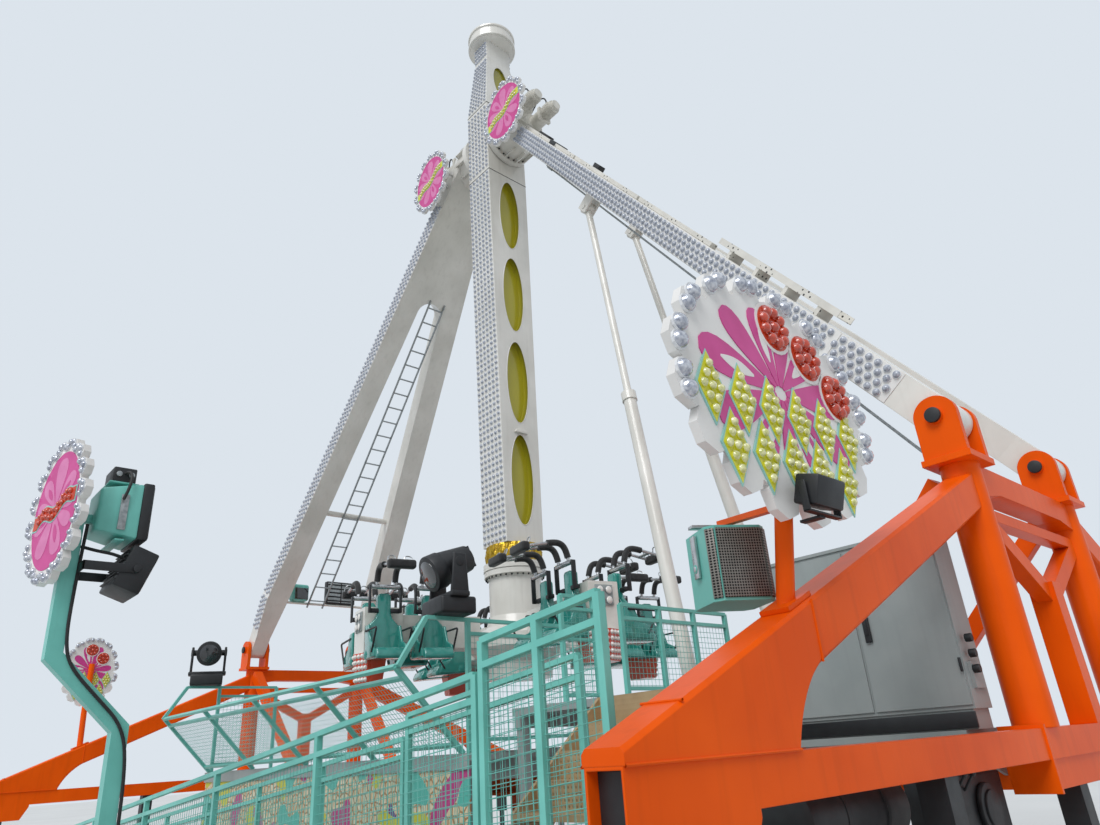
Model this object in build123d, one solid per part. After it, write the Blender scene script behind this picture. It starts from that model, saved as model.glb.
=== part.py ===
# Travelling looping pendulum ride: a full-circle swinging arm on two forked supports, a spinning
# four-spoke seat gondola below it, a steel base at each side, boarding platform, ramp, fences,
# light post and sign boards.
# Units mm.  Origin on the ground below the arm; +X along the swing axis towards the ram side,
# +Y away from the ramp, +Z up.
import math
import os
from build123d import *

os.makedirs("parts", exist_ok=True)

# swing axis, bases and pins
HUB_Z = 12200.0
BASE_X = 6850.0
PIN_Y = 1120.0
PIN_Z = 3800.0
PIN_R = 65.0
HEAD_X = 680.0
RUN = 0.05
SEAT_GAP = 0.3
# forked supports, measured down the leg from the head
LEG_T = 300.0
LEG_TOP = 120.0
LEG_W0 = 420.0
LEG_SLOPE = 0.0945
ARCH_U = 2750.0
ARCH_R = 270.0
ARCH_SLOPE = 0.0975
LUG_W = 280.0
LUG_LEN = 1150.0
CROSSBAR_R = 55.0
CROSSBAR_Z = 6240.0
LOW_BAR_Z = 4660.0
LOW_BAR_R = 25.0
# heads and drives
HEAD_R = 430.0
HEAD_FLANGE_R = 500.0
HEAD_FLANGE_T = 110.0
HEAD_END = 780.0
HEAD_CLEAR = 12.0
HEAD_CAP_R = 330.0
HEAD_CAP_T = 90.0
AXLE_R = 180.0
AXLE_END = 560.0
MOTOR_R = 115.0
MOTOR_LEN = 330.0
GEAR_R = 140.0
GEAR_LEN = 200.0
MOTOR_Y = 215.0
MOTOR_RISE = 150.0
# bases
GROUND_TOP = 1530.0
BEAM_W = 190.0
BEAM_H = 190.0
BASE_END_Y = 5290.0
FOOT_Y = 4550.0
FOOT_H = 400.0
END_OPEN = 60.0
END_WALL = 12.0
BRACE_W = 210.0
BRACE_D = 270.0
BRACE_RISE = 60.0
BRACE_SLOPE = 0.427
GUSSET_Y = 4200.0
GUSSET_R = 300.0
TUBE_R = 143.0
TIE_TOP = 3450.0
TIE_H = 200.0
TIE_W = 200.0
MID_TIE_Z = 3090.0
MID_TIE_H = 90.0
POST_W = 190.0
CLEVIS_HALF = 180.0
CLEVIS_T = 60.0
CLEVIS_R = 165.0
MID_Y = 1270.0
MID_DROP = 370.0
INNER_W = 160.0
INNER_TOP_X = BASE_X - 160.0
INNER_LOW_X = BASE_X - 1950.0
CORNER_R = 18.0
# chassis, deck and ramp
RAIL_Y = 950.0
RAIL_W = 180.0
RAIL_TOP = 1500.0
RAIL_H = 350.0
WEB_IN = 60.0
CROSS_X = (-5200.0, -2600.0, 0.0, 2600.0, 5200.0)
CROSS_W = 180.0
CROSS_H = 260.0
CABINET_X0 = BASE_X - 1490.0
CABINET_X1 = BASE_X - 130.0
CABINET_Y0 = -1700.0
CABINET_Y1 = -1420.0
CABINET_H = 1320.0
PLINTH_H = 125.0
SHELF_T = 50.0
PAD_R = 350.0
PAD_T = 40.0
DECK_TOP = 1620.0
DECK_T = 60.0
DECK_X0 = -2900.0
DECK_X1 = 3200.0
ENTRY_X0 = 3350.0
ENTRY_X1 = 5350.0
ENTRY_Y0 = -2850.0
ENTRY_Y1 = -1200.0
ENTRY_TOP = 1950.0
DECK_Y = 3200.0
JOIST_H = 160.0
LEG_W = 80.0
SKIRT_T = 12.0
SKIRT_LOW = 320.0
RAMP_Y0 = -4950.0
RAMP_Y1 = -4050.0
RAMP_X0 = -2900.0
RAMP_X1 = 6600.0
RAMP_Z0 = 70.0
RAMP_SLOPE = 0.107
RAMP_T = 60.0
STEP_X0 = 4400.0
STEP_N = 4
STEP_RUN = 225.0
LANDING_W = 300.0
TREAD_T = 40.0
# fences
FENCE_BAR = 40.0
RAIL_GAP = 120.0
FENCE_H = 1100.0
ENTRY_FENCE_H = 820.0
LEAN_Y = 670.0
LEAN_H = 690.0
CORNER_Y = 400.0
# rams
RAM_TOP = (2680.0, 500.0, 8900.0)
RAM_LOW = (3890.0, 950.0, 1560.0)
RAM_R = 80.0
RAM_ROD_R = 48.0
RAM_SPLIT = 0.545
RAM_EYE_R = 95.0
LUG_ROOM = 28.0
# arm
ARM_WX = 300.0
ARM_WY = 435.0
ARM_TIP_WX = 290.0
ARM_TIP_WY = 352.0
SEAM_LOW = 11390.0
SEAM_HIGH = 13010.0
ARM_TIP_Z = 4460.0
ARM_NECK_Z = 14400.0
ARM_TOP_Z = 14860.0
NECK_WX = 195.0
NECK_WY = 290.0
OVAL_Z = (5480.0, 7160.0, 8845.0, 10530.0)
OVAL_W = 220.0
OVAL_H = 740.0
OVAL_DEPTH = 110.0
TOP_OVAL_Z = 13825.0
TOP_OVAL_H = 415.0
TOP_OVAL_W = 175.0
DRUM_R = 480.0
DRUM_H = 320.0
# gondola
TURN = -12.0
RING_Z = 4100.0
RING_R = 465.0
COLLAR_R = 410.0
SPIGOT_R = 300.0
SPIGOT_H = 100.0
COLUMN_R = 390.0
DRUM_LOW_R = 700.0
DRUM_TOP = 3100.0
DRUM_LOW = 2820.0
SPOKE_W = 215.0
SPOKE_STEP = 20.0
HOUSING_LEN = 520.0
SPOKE_END = 2330.0
SPOKE_TOP = 3470.0
SPOKE_LOW = 2900.0
V_LOW = 2530.0
V_HALF = 270.0
SEAT_R = (1500.0, 2120.0)
SEAT_W = 225.0
SEAT_BACK = 270.0
SEAT_PAN = 470.0
PAN_Z = 2790.0
HINGE_F = 410.0
HINGE_Z = 3695.0
HINGE_PIN = 16.0
GUARD_R = 14.0
# light post, signs and speaker
POST_X = 3000.0
POST_W2 = 100.0
SIGN_X = BASE_X + 170.0
SIGN_Y = -3960.0
SIGN_Z = 3200.0
SIGN_T = 50.0
SIGN_HALF = (760.0, 560.0)
SIGN_LOBE = 130.0
LEFT_SIGN_Z = 3380.0
LEFT_SIGN_HALF = (360.0, 490.0)
LEFT_SIGN_LOBE = 95.0
POST_BADGE_TURN = 14.5
BADGE_X = 1150.0
BADGE_Y = -720.0
BADGE_Z = 11900.0
STAY_W = 30.0
SPEAKER = (BASE_X - 290.0, -3960.0, 2400.0)
SPEAKER_W = 330.0
SPEAKER_TURN = -30.0
# taut stays, cable tray and stage lights
STAY_R = 8.0
STAY_END_R = 20.0
STAY_TOP_U = 1750.0
STAY_LOW_Z = TIE_TOP - 70.0
STAY_PAD = 50.0
TRAY_W = 220.0
TRAY_H = 70.0
TRAY_T = 8.0
TRAY_RISE = 85.0
TRAY_U = (7050.0, 9050.0)
LIGHT_R = 165.0
LIGHT_LEN = 430.0
LIGHT_YOKE = 215.0
LIGHT_BASE = (420.0, 340.0, 150.0)
LIGHT_PIVOT = 450.0
LIGHT_Y = -3360.0
FLOOD_BACK = 150.0
FLOOD_RIM = 200.0
FLOOD_DEEP = 260.0
BAR_LIGHT = (356.0, 180.0, 300.0)
BAR_LIGHT_Z = 2900.0
BAR_LIGHT_OUT = 330.0


def box(x0, x1, y0, y1, z0, z1):
    """Axis-aligned block from its limits."""
    return Pos((x0 + x1) / 2, (y0 + y1) / 2, (z0 + z1) / 2) * Box(x1 - x0, y1 - y0, z1 - z0)


def along(a, b):
    """Plane at point a that faces point b, and the distance between them."""
    a, b = Vector(*a), Vector(*b)
    return Plane(origin=a, z_dir=b - a), (b - a).length


def rod(a, b, r):
    """Round bar from point a to point b."""
    plane, length = along(a, b)
    return extrude(plane * Circle(r), amount=length)


def bar(a, b, r, sides=6):
    """Slim bar of few sides from point a to point b."""
    plane, length = along(a, b)
    return extrude(plane * RegularPolygon(r, sides), amount=length)


def beam(a, b, w, h, up=(0, 0, 1), r=0.0):
    """Box section bar from a to b: w across, h towards up, with rounded corners where r is given."""
    a, b = Vector(*a), Vector(*b)
    d = b - a
    plane = Plane(origin=a, x_dir=d.cross(Vector(*up)).normalized(), z_dir=d)
    section = RectangleRounded(w, h, r) if r else Rectangle(w, h)
    return extrude(plane * section, amount=d.length)


def cyl_x(x0, x1, y, z, r):
    """Round bar along X."""
    return Pos((x0 + x1) / 2, y, z) * Rot(0, 90, 0) * Cylinder(r, x1 - x0)


def cyl_y(x, y0, y1, z, r):
    """Round bar along Y."""
    return Pos(x, (y0 + y1) / 2, z) * Rot(90, 0, 0) * Cylinder(r, y1 - y0)


def cyl_z(x, y, z0, z1, r):
    """Round bar along Z."""
    return Pos(x, y, (z0 + z1) / 2) * Cylinder(r, z1 - z0)


def outline(pts):
    """Flat face inside a closed line of points."""
    return make_face(Polyline(*pts, close=True))


def side_plate(x, pts, half):
    """Plate in the YZ plane at x, from (y, z) points, half thick to each side."""
    plane = Plane(origin=(x, 0, 0), x_dir=(0, 1, 0), z_dir=(1, 0, 0))
    return extrude(plane * outline(pts), amount=half, both=True)


def mirror_x(s):
    return mirror(s, about=Plane.YZ)


def mirror_y(s):
    return mirror(s, about=Plane.XZ)


def group(solids):
    return Compound(children=list(solids))


def save(part, name):
    export_step(part, "parts/" + name + ".step")


# forked support, laid out in its own leaning plane
LEAN = math.hypot(BASE_X - HEAD_X, HUB_Z - PIN_Z)
LEAN_X = (BASE_X - HEAD_X) / LEAN
LEAN_Z = (HUB_Z - PIN_Z) / LEAN


def support_plane():
    """Plane of the right support: x down the legs, y along +Y, origin at the head."""
    return Plane(origin=(HEAD_X, 0, HUB_Z), x_dir=(LEAN_X, 0, -LEAN_Z), z_dir=(LEAN_Z, 0, LEAN_X))


def on_support(u, y, n=0.0):
    """Point u down the legs, y across and n above the support's middle plane."""
    return tuple(support_plane().from_local_coords(Vector(u, y, n)))


def at_height(z):
    """Distance down the legs at which the support's middle plane is at height z."""
    return (HUB_Z - z) / LEAN_Z


def leg_outer(u):
    return LEG_W0 + LEG_SLOPE * u


def leg_inner(u):
    return ARCH_R + ARCH_SLOPE * (u - ARCH_U - ARCH_R)


def support():
    """Forked box frame: solid web at the head, arched fork, legs that taper to round-ended lugs."""
    plane = support_plane()
    arch = ARCH_U + ARCH_R
    neck = LEAN - LUG_LEN
    low = PIN_Y - LUG_W / 2
    high = PIN_Y + LUG_W / 2
    half = [(LEG_TOP, 0), (LEG_TOP, leg_outer(LEG_TOP)), (neck, leg_outer(neck)), (LEAN - 350, high),
            (LEAN, high), (LEAN, low), (LEAN - 350, low), (neck, leg_inner(neck)), (arch, ARCH_R),
            (arch, 0)]
    leg = extrude(plane * outline(half), amount=LEG_T / 2, both=True)
    leg -= extrude(plane * (Pos(arch, 0) * Circle(ARCH_R)), amount=LEG_T, both=True)
    leg += cyl_y(BASE_X, low, high, PIN_Z, LEG_T / 2)
    leg -= cyl_y(BASE_X, low - 10, high + 10, PIN_Z, PIN_R + RUN)
    body = leg + mirror_y(leg)
    u = at_height(CROSSBAR_Z)
    reach = leg_inner(u) + 40
    return body + rod(on_support(u, -reach), on_support(u, reach), CROSSBAR_R)


def low_bar():
    """Thin bar between the legs of the left support, which carries its ladder and lamps."""
    u = at_height(LOW_BAR_Z)
    reach = leg_inner(u) + 20
    return rod(on_support(u, -reach), on_support(u, reach), LOW_BAR_R)


def ladder():
    """Rung ladder from the fork's arch down to the low bar."""
    top_u, low_u = ARCH_U - 60, at_height(LOW_BAR_Z) + 60
    y_top, y_low, half, n = 80.0, -230.0, 165.0, LEG_T / 2 + 18
    a, b = Vector(*on_support(top_u, y_top, -n)), Vector(*on_support(low_u, y_low, -LOW_BAR_R - 16))
    across = Vector(0, 1, 0)
    rungs = 22
    body = None
    for s in (-half, half):
        rail = beam(tuple(a + across * s), tuple(b + across * s), 24, 34, up=(LEAN_Z, 0, LEAN_X))
        body = rail if body is None else body + rail
    for i in range(rungs):
        p = a + (b - a) * ((i + 0.5) / rungs)
        body += beam(tuple(p - across * half), tuple(p + across * half), 22, 22)
    foot = on_support(top_u + 60, y_top, -LEG_T / 2)
    for s in (-half, half):
        body += box(foot[0] - 25, foot[0] + 25, y_top + s - 12, y_top + s + 12, foot[2] - 40, foot[2] + 12)
    return body - support()


def head():
    """Bearing housing between the support's top and the arm's hub, with flange, ribs and end cap."""
    x0 = ARM_WX + HEAD_CLEAR
    body = cyl_x(x0, HEAD_END, 0, HUB_Z, HEAD_R)
    body += cyl_x(x0, x0 + HEAD_FLANGE_T, 0, HUB_Z, HEAD_FLANGE_R)
    body += cyl_x(HEAD_END, HEAD_END + HEAD_CAP_T, 0, HUB_Z, HEAD_CAP_R)
    rib = side_plate(0, [(-14, HEAD_CAP_R), (14, HEAD_CAP_R), (14, HEAD_FLANGE_R), (-14, HEAD_FLANGE_R)], 130)
    for k in range(12):
        body += Pos(x0 + HEAD_FLANGE_T + 120, 0, HUB_Z) * Rot(15 + 30 * k, 0, 0) * rib
    return body - cyl_x(x0 - 10, AXLE_END + 5, 0, HUB_Z, AXLE_R + RUN)


def motors():
    """Two gear motors standing on the back of a head."""
    z = HUB_Z + MOTOR_RISE
    x1 = HEAD_END + HEAD_CAP_T
    body = box(x1, x1 + 70, -MOTOR_Y - 150, MOTOR_Y + 150, z - 130, z + 160)
    for y in (-MOTOR_Y, MOTOR_Y):
        x2 = x1 + 70 + GEAR_LEN
        body += cyl_x(x1 + 70, x2, y, z, GEAR_R)
        body += cyl_x(x2, x2 + MOTOR_LEN, y, z, MOTOR_R)
        body += cyl_x(x2 + MOTOR_LEN, x2 + MOTOR_LEN + 50, y, z, MOTOR_R - 25)
        body += box(x2 + 60, x2 + 210, y - 60, y + 60, z + MOTOR_R - 20, z + MOTOR_R + 55)
        body += box(x2, x2 + 60, y - 130, y + 130, z - 130, z + 130)
    return body


# bases
def base_beam():
    """Long ground beam with deeper, open-ended foot boxes and a dropped middle frame."""
    x0, x1 = BASE_X - BEAM_W / 2, BASE_X + BEAM_W / 2
    low = GROUND_TOP - BEAM_H
    body = box(x0, x1, -BASE_END_Y, BASE_END_Y, low, GROUND_TOP)
    for s in (-1, 1):
        y0, y1 = sorted((s * BASE_END_Y, s * FOOT_Y))
        foot = box(x0, x1, y0, y1, GROUND_TOP - FOOT_H, low)
        foot -= side_plate(BASE_X, [(s * FOOT_Y, low - FOOT_H), (s * (FOOT_Y + 200), low - FOOT_H),
                                    (s * FOOT_Y, low - 30)], BEAM_W)
        body += foot
        e0, e1 = sorted((s * (BASE_END_Y - END_OPEN), s * (BASE_END_Y + 10)))
        body -= box(x0 + END_WALL, x1 - END_WALL, e0, e1, GROUND_TOP - FOOT_H + END_WALL,
                    GROUND_TOP - END_WALL)
    body += box(x0 - 60, x1 - 20, -MID_Y, MID_Y, GROUND_TOP - MID_DROP, low)
    for s in (-1, 1):
        y0, y1 = sorted((s * MID_Y, s * (MID_Y + 30)))
        body += box(x0 - 90, x1 + 12, y0, y1, GROUND_TOP - MID_DROP - 20, GROUND_TOP + 25)
    return body


def brace_top(y):
    """Height of a sloped beam's upper edge at distance y from the middle."""
    return GROUND_TOP + BRACE_RISE + BRACE_SLOPE * (BASE_END_Y - y)


def brace():
    """Front half: sloped box beam that runs into its arched gusset above the ground beam."""
    drop = BRACE_D * math.hypot(1, BRACE_SLOPE)
    y_in = PIN_Y + TUBE_R * 0.5
    y_arc = GUSSET_Y - GUSSET_R
    with BuildSketch(Plane(origin=(BASE_X, 0, 0), x_dir=(0, 1, 0), z_dir=(1, 0, 0))) as face:
        with BuildLine():
            Polyline((BASE_END_Y, GROUND_TOP), (BASE_END_Y, brace_top(BASE_END_Y)), (y_in, brace_top(y_in)),
                     (y_in, brace_top(y_in) - drop), (y_arc, brace_top(y_arc) - drop))
            ThreePointArc((y_arc, brace_top(y_arc) - drop),
                          (GUSSET_Y - 95, GROUND_TOP + 175), (GUSSET_Y, GROUND_TOP))
            Line((GUSSET_Y, GROUND_TOP), (BASE_END_Y, GROUND_TOP))
        make_face()
    body = extrude(face.sketch, amount=BRACE_W / 2, both=True)
    edges = body.edges().filter_by(lambda e: abs((e @ 1).Z - (e @ 0).Z) > 300
                                   and abs((e @ 1).X - (e @ 0).X) < 1)
    body = chamfer(edges, CORNER_R)
    return body - cyl_z(BASE_X, PIN_Y, 0, TIE_TOP, TUBE_R + SEAT_GAP)


def inner_brace(sy):
    """Box strut from the tower's top down to the chassis."""
    a = (INNER_TOP_X, sy * PIN_Y, TIE_TOP - 130)
    b = (INNER_LOW_X, sy * RAIL_Y, RAIL_TOP - 60)
    body = beam(a, b, INNER_W, INNER_W, r=0)
    body -= box(INNER_LOW_X - 900, BASE_X, -3000, 3000, 0, RAIL_TOP)
    body -= cyl_z(BASE_X, sy * PIN_Y, 0, TIE_TOP + 200, TUBE_R + SEAT_GAP)
    return body


def braces():
    """Front and back sloped beams and the two inner struts of the right base."""
    b = brace()
    return group([b, mirror_y(b), inner_brace(-1), inner_brace(1)])


def tower():
    """Upright tubes, flared top tie, slim middle tie, V struts and centre post of one base."""
    top = TIE_TOP - 30
    body = cyl_z(BASE_X, -PIN_Y, GROUND_TOP, top, TUBE_R) + cyl_z(BASE_X, PIN_Y, GROUND_TOP, top, TUBE_R)
    waist = PIN_Y - 420
    flare = [(-PIN_Y, top - TIE_H - 70), (-waist, top - TIE_H), (waist, top - TIE_H),
             (PIN_Y, top - TIE_H - 70), (PIN_Y, top), (-PIN_Y, top)]
    body += side_plate(BASE_X, flare, TIE_W / 2)
    body += box(BASE_X - 60, BASE_X + 60, -PIN_Y, PIN_Y, MID_TIE_Z - MID_TIE_H, MID_TIE_Z)
    for s in (-1, 1):
        body += beam((BASE_X, s * (PIN_Y - 60), MID_TIE_Z - 60), (BASE_X, 0, 2480), 120, 140)
    body += box(BASE_X - POST_W / 2, BASE_X + POST_W / 2, -POST_W / 2, POST_W / 2, GROUND_TOP, 2600)
    for s in (-1, 1):
        body += box(BASE_X - 90, BASE_X + 90, s * PIN_Y - 125, s * PIN_Y + 125, GROUND_TOP, GROUND_TOP + 25)
    return body


def clevis(s):
    """Pair of round-topped plates on a foot plate, with the support's pin and its end caps."""
    body = box(BASE_X - CLEVIS_R - 20, BASE_X + CLEVIS_R + 20, s * PIN_Y - CLEVIS_HALF - 50,
               s * PIN_Y + CLEVIS_HALF + 50, TIE_TOP - 30, TIE_TOP + 20)
    for k in (-1, 1):
        y = s * PIN_Y + k * CLEVIS_HALF
        body += box(BASE_X - CLEVIS_R, BASE_X + CLEVIS_R, y - CLEVIS_T / 2, y + CLEVIS_T / 2, TIE_TOP, PIN_Z)
        body += cyl_y(BASE_X, y - CLEVIS_T / 2, y + CLEVIS_T / 2, PIN_Z, CLEVIS_R)
        y0, y1 = sorted((y + k * CLEVIS_T / 2, s * PIN_Y + k * (LUG_W / 2 + SEAT_GAP)))
        body += cyl_y(BASE_X, y0, y1, PIN_Z, PIN_R + 35)
    reach = CLEVIS_HALF + CLEVIS_T / 2 + 25
    return body + cyl_y(BASE_X, s * PIN_Y - reach, s * PIN_Y + reach, PIN_Z, PIN_R)


def clevises():
    return group([clevis(-1), clevis(1)])


def foot(x, y, top, r):
    """Jack leg: square outer tube, round screw and a round ground pad."""
    body = cyl_z(x, y, 0, 40, r) + cyl_z(x, y, 40, 460, 55)
    return body + box(x - 80, x + 80, y - 80, y + 80, 420, top)


def feet():
    """Jack legs under both bases: at the ends, under the middle frame and between them."""
    out = []
    for x in (-BASE_X, BASE_X):
        for s in (-1, 1):
            out.append(foot(x, s * (BASE_END_Y - 340), GROUND_TOP - FOOT_H, 220))
            out.append(foot(x, s * 2800, GROUND_TOP - BEAM_H, 160))
            out.append(foot(x + (25 if x < 0 else -25), s * 700, GROUND_TOP - MID_DROP, 220))
    return group(out)


def chassis():
    """Two long channel beams with their webs inside, and the lugs that the rams stand in."""
    x1 = BASE_X - BEAM_W / 2 - 60
    low = RAIL_TOP - RAIL_H
    z = RAM_LOW[2] + 20
    out = []
    for s in (-1, 1):
        body = box(-x1, x1, s * RAIL_Y - RAIL_W / 2, s * RAIL_Y + RAIL_W / 2, low, RAIL_TOP)
        y0, y1 = sorted((s * (RAIL_Y + RAIL_W / 2 - WEB_IN), s * (RAIL_Y + RAIL_W)))
        body -= box(-x1 + 400, x1 - 400, y0, y1, low + 40, RAIL_TOP - 40)
        y = s * RAM_LOW[1]
        for k in (-1, 1):
            yl = y + k * (RAM_R + LUG_ROOM)
            body += box(RAM_LOW[0] - 90, RAM_LOW[0] + 90, yl - 15, yl + 15, RAIL_TOP, z)
            body += cyl_y(RAM_LOW[0], yl - 15, yl + 15, z, 90)
        body -= cyl_y(RAM_LOW[0], y - RAM_R - 12, y + RAM_R + 12, z, RAM_EYE_R + 1)
        out.append(body + cyl_y(RAM_LOW[0], y - RAM_R - 55, y + RAM_R + 55, z, 32))
    return group(out)


def cross_members():
    """Box members between the long beams; the middle one stands on the centre post and its pad."""
    inner = RAIL_Y - RAIL_W / 2 - SEAT_GAP
    out = []
    for x in CROSS_X:
        out.append(box(x - CROSS_W / 2, x + CROSS_W / 2, -inner, inner, RAIL_TOP - 60 - CROSS_H, RAIL_TOP - 60))
    mid = len(CROSS_X) // 2
    out[mid] += box(-120, 120, -120, 120, PAD_T, RAIL_TOP - 60) + cyl_z(0, 0, 0, PAD_T, PAD_R)
    return group(out)


# rams under the right support
def ram_point(t, s):
    """Point at share t of a ram's length from its low eye, on the side s."""
    a = (RAM_LOW[0], RAM_LOW[1], RAM_LOW[2] + 20)
    x, y, z = (p + (q - p) * t for p, q in zip(a, RAM_TOP))
    return x, s * y, z


def ram_barrel(s):
    """Thick lower cylinder with its eye and gland ring."""
    low = ram_point(0, s)
    body = rod(ram_point(0.012, s), ram_point(RAM_SPLIT, s), RAM_R)
    body += rod(ram_point(RAM_SPLIT - 0.012, s), ram_point(RAM_SPLIT + 0.004, s), RAM_R + 14)
    body += cyl_y(low[0], low[1] - 50, low[1] + 50, low[2], RAM_EYE_R)
    return body - cyl_y(low[0], low[1] - 60, low[1] + 60, low[2], 32 + RUN)


def ram_rod(s):
    """Slim upper rod, its eye, and the bracket that hangs from the support."""
    top = ram_point(1, s)
    body = rod(ram_point(RAM_SPLIT + 0.0045, s), ram_point(0.992, s), RAM_ROD_R)
    body += cyl_y(top[0], top[1] - 60, top[1] + 60, top[2], RAM_EYE_R)
    off = (top[0] - HEAD_X) * LEAN_Z + (top[2] - HUB_Z) * LEAN_X + LEG_T / 2 + SEAT_GAP
    reach = (top[0] - off * LEAN_Z, top[1], top[2] - off * LEAN_X)
    for k in (-75, 75):
        a, b = Vector(*top) + Vector(0, k, 0), Vector(*reach) + Vector(0, k, 0)
        body += beam(tuple(a - (b - a) * 0.35), tuple(b), 28, 190, up=(LEAN_X, 0, -LEAN_Z))
    return body + cyl_y(top[0], top[1] - 100, top[1] + 100, top[2], 34)


# arm
def frustum(x0, y0, z0, x1, y1, z1):
    """Tapered box between two heights, from half widths."""
    low = Pos(0, 0, z0) * Rectangle(2 * x0, 2 * y0)
    high = Pos(0, 0, z1) * Rectangle(2 * x1, 2 * y1)
    return loft([low.face(), high.face()])


def arm_half_x(z):
    """Half width of the lower arm along X at height z."""
    return ARM_TIP_WX + (ARM_WX - ARM_TIP_WX) * (z - ARM_TIP_Z) / (SEAM_LOW - ARM_TIP_Z)


def oval_pockets(z, half_x, w, h):
    """Oval openings in both wide plates of the arm, down to the liner inside."""
    out = []
    for s in (-1, 1):
        plane = Plane(origin=(s * (half_x - OVAL_DEPTH), 0, z), x_dir=(0, 1, 0), z_dir=(s, 0, 0))
        out.append(extrude(plane * Ellipse(w, h), amount=2 * OVAL_DEPTH))
    return out


def arm_lower():
    body = frustum(ARM_TIP_WX, ARM_TIP_WY, ARM_TIP_Z, ARM_WX, ARM_WY, SEAM_LOW)
    for z in OVAL_Z:
        for pocket in oval_pockets(z, arm_half_x(z), OVAL_W, OVAL_H):
            body -= pocket
    return body


def arm_hub():
    """Middle box of the arm with its bearing bosses and axle ends."""
    body = box(-ARM_WX, ARM_WX, -ARM_WY, ARM_WY, SEAM_LOW, SEAM_HIGH)
    boss = ARM_WX + HEAD_CLEAR / 2
    return body + cyl_x(-boss, boss, 0, HUB_Z, HEAD_R) + cyl_x(-AXLE_END, AXLE_END, 0, HUB_Z, AXLE_R)


def arm_upper():
    body = frustum(ARM_WX, ARM_WY, SEAM_HIGH, NECK_WX, NECK_WY, ARM_NECK_Z)
    body += box(-NECK_WX, NECK_WX, -NECK_WY, NECK_WY, ARM_NECK_Z, ARM_TOP_Z)
    share = (TOP_OVAL_Z - SEAM_HIGH) / (ARM_NECK_Z - SEAM_HIGH)
    half_x = ARM_WX + (NECK_WX - ARM_WX) * share
    for pocket in oval_pockets(TOP_OVAL_Z, half_x + 40, TOP_OVAL_W, TOP_OVAL_H):
        body -= pocket
    return body


def counterweight():
    """Turned drum with a lip ring below and a crowned top."""
    prof = [(0, 0), (DRUM_R - 40, 0), (DRUM_R - 40, 20), (DRUM_R, 20), (DRUM_R, 75), (DRUM_R - 22, 80),
            (DRUM_R - 22, DRUM_H - 70), (DRUM_R, DRUM_H - 65), (DRUM_R, DRUM_H - 25), (DRUM_R - 60, DRUM_H),
            (0, DRUM_H)]
    return Pos(0, 0, ARM_TOP_Z) * revolve(Plane.XZ * outline(prof), Axis.Z)


def collar():
    """Wrapped sleeve between the arm's foot and the slewing ring."""
    return cyl_z(0, 0, RING_Z + 80, ARM_TIP_Z, COLLAR_R)


def slew_ring():
    """Upper race of the slewing bearing with the spigot that the gondola turns on."""
    return cyl_z(0, 0, RING_Z - 20, RING_Z + 80, RING_R) + cyl_z(0, 0, RING_Z - SPIGOT_H, RING_Z, SPIGOT_R)


# gondola
def spin(s, k=0):
    """Turn a piece made on the +X spoke to spoke k."""
    return Rot(0, 0, TURN + 90 * k) * s


def column():
    """Turned column: lower race, shaft, flared foot, drum and bottom boss."""
    top = RING_Z - 25
    prof = [(0, top), (RING_R - 10, top), (RING_R - 10, top - 80), (COLUMN_R, top - 95), (COLUMN_R, 3420),
            (450, 3270), (DRUM_LOW_R - 60, 3150), (DRUM_LOW_R, 3135), (DRUM_LOW_R, DRUM_TOP - 140),
            (DRUM_LOW_R - 130, DRUM_LOW), (500, DRUM_LOW - 60), (480, 2560), (0, 2560)]
    body = revolve(Plane.XZ * outline(prof), Axis.Z)
    return body - cyl_z(0, 0, RING_Z - SPIGOT_H - 5, RING_Z, SPIGOT_R + RUN)


def spoke():
    """Spoke box with a lamp housing at its end and a V-fronted panel below it."""
    core = cyl_z(0, 0, 2000, 4000, DRUM_LOW_R + 5)
    half = SPOKE_W - SPOKE_STEP
    body = box(500, SPOKE_END, -half, half, DRUM_TOP - 140, 3380) - core
    body += box(SPOKE_END - HOUSING_LEN, SPOKE_END, -SPOKE_W, SPOKE_W, SPOKE_LOW, SPOKE_TOP)
    web = [(500, DRUM_TOP - 140), (1500, SPOKE_LOW + 60), (1500, 3300), (500, 3380)]
    plane = Plane(origin=(0, 0, 0), x_dir=(1, 0, 0), z_dir=(0, -1, 0))
    body += extrude(plane * outline(web), amount=SPOKE_W - 60, both=True) - core
    nose = [(SPOKE_END - 300, -V_HALF), (SPOKE_END - 40, -V_HALF), (SPOKE_END + 70, 0),
            (SPOKE_END - 40, V_HALF), (SPOKE_END - 300, V_HALF)]
    tip = [(SPOKE_END - 260, -V_HALF + 70), (SPOKE_END - 60, -V_HALF + 70), (SPOKE_END + 30, 0),
           (SPOKE_END - 60, V_HALF - 70), (SPOKE_END - 260, V_HALF - 70)]
    low = Plane.XY.offset(V_LOW) * outline(tip)
    high = Plane.XY.offset(SPOKE_LOW) * outline(nose)
    body += loft([low.face(), high.face()])
    pad = box(DRUM_LOW_R - 5, DRUM_LOW_R + 60, -half, half, DRUM_TOP - 135, DRUM_TOP + 30)
    return body + (pad - cyl_z(0, 0, 2000, 4000, DRUM_LOW_R))


def spokes():
    return group(spin(spoke(), k) for k in range(4))


def torso(r):
    """Outline of a seat back: head post, shoulders, waist and hip flare, as (x, z) points."""
    right = [(SEAT_W, PAN_Z), (SEAT_W + 15, 2850), (SEAT_W - 25, 2960), (SEAT_W - 30, 3060), (SEAT_W, 3130),
             (SEAT_W - 25, 3215), (110, 3300), (88, 3370), (88, 3590), (60, 3620)]
    return [(r + x, z) for x, z in right] + [(r - x, z) for x, z in reversed(right)]


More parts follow.
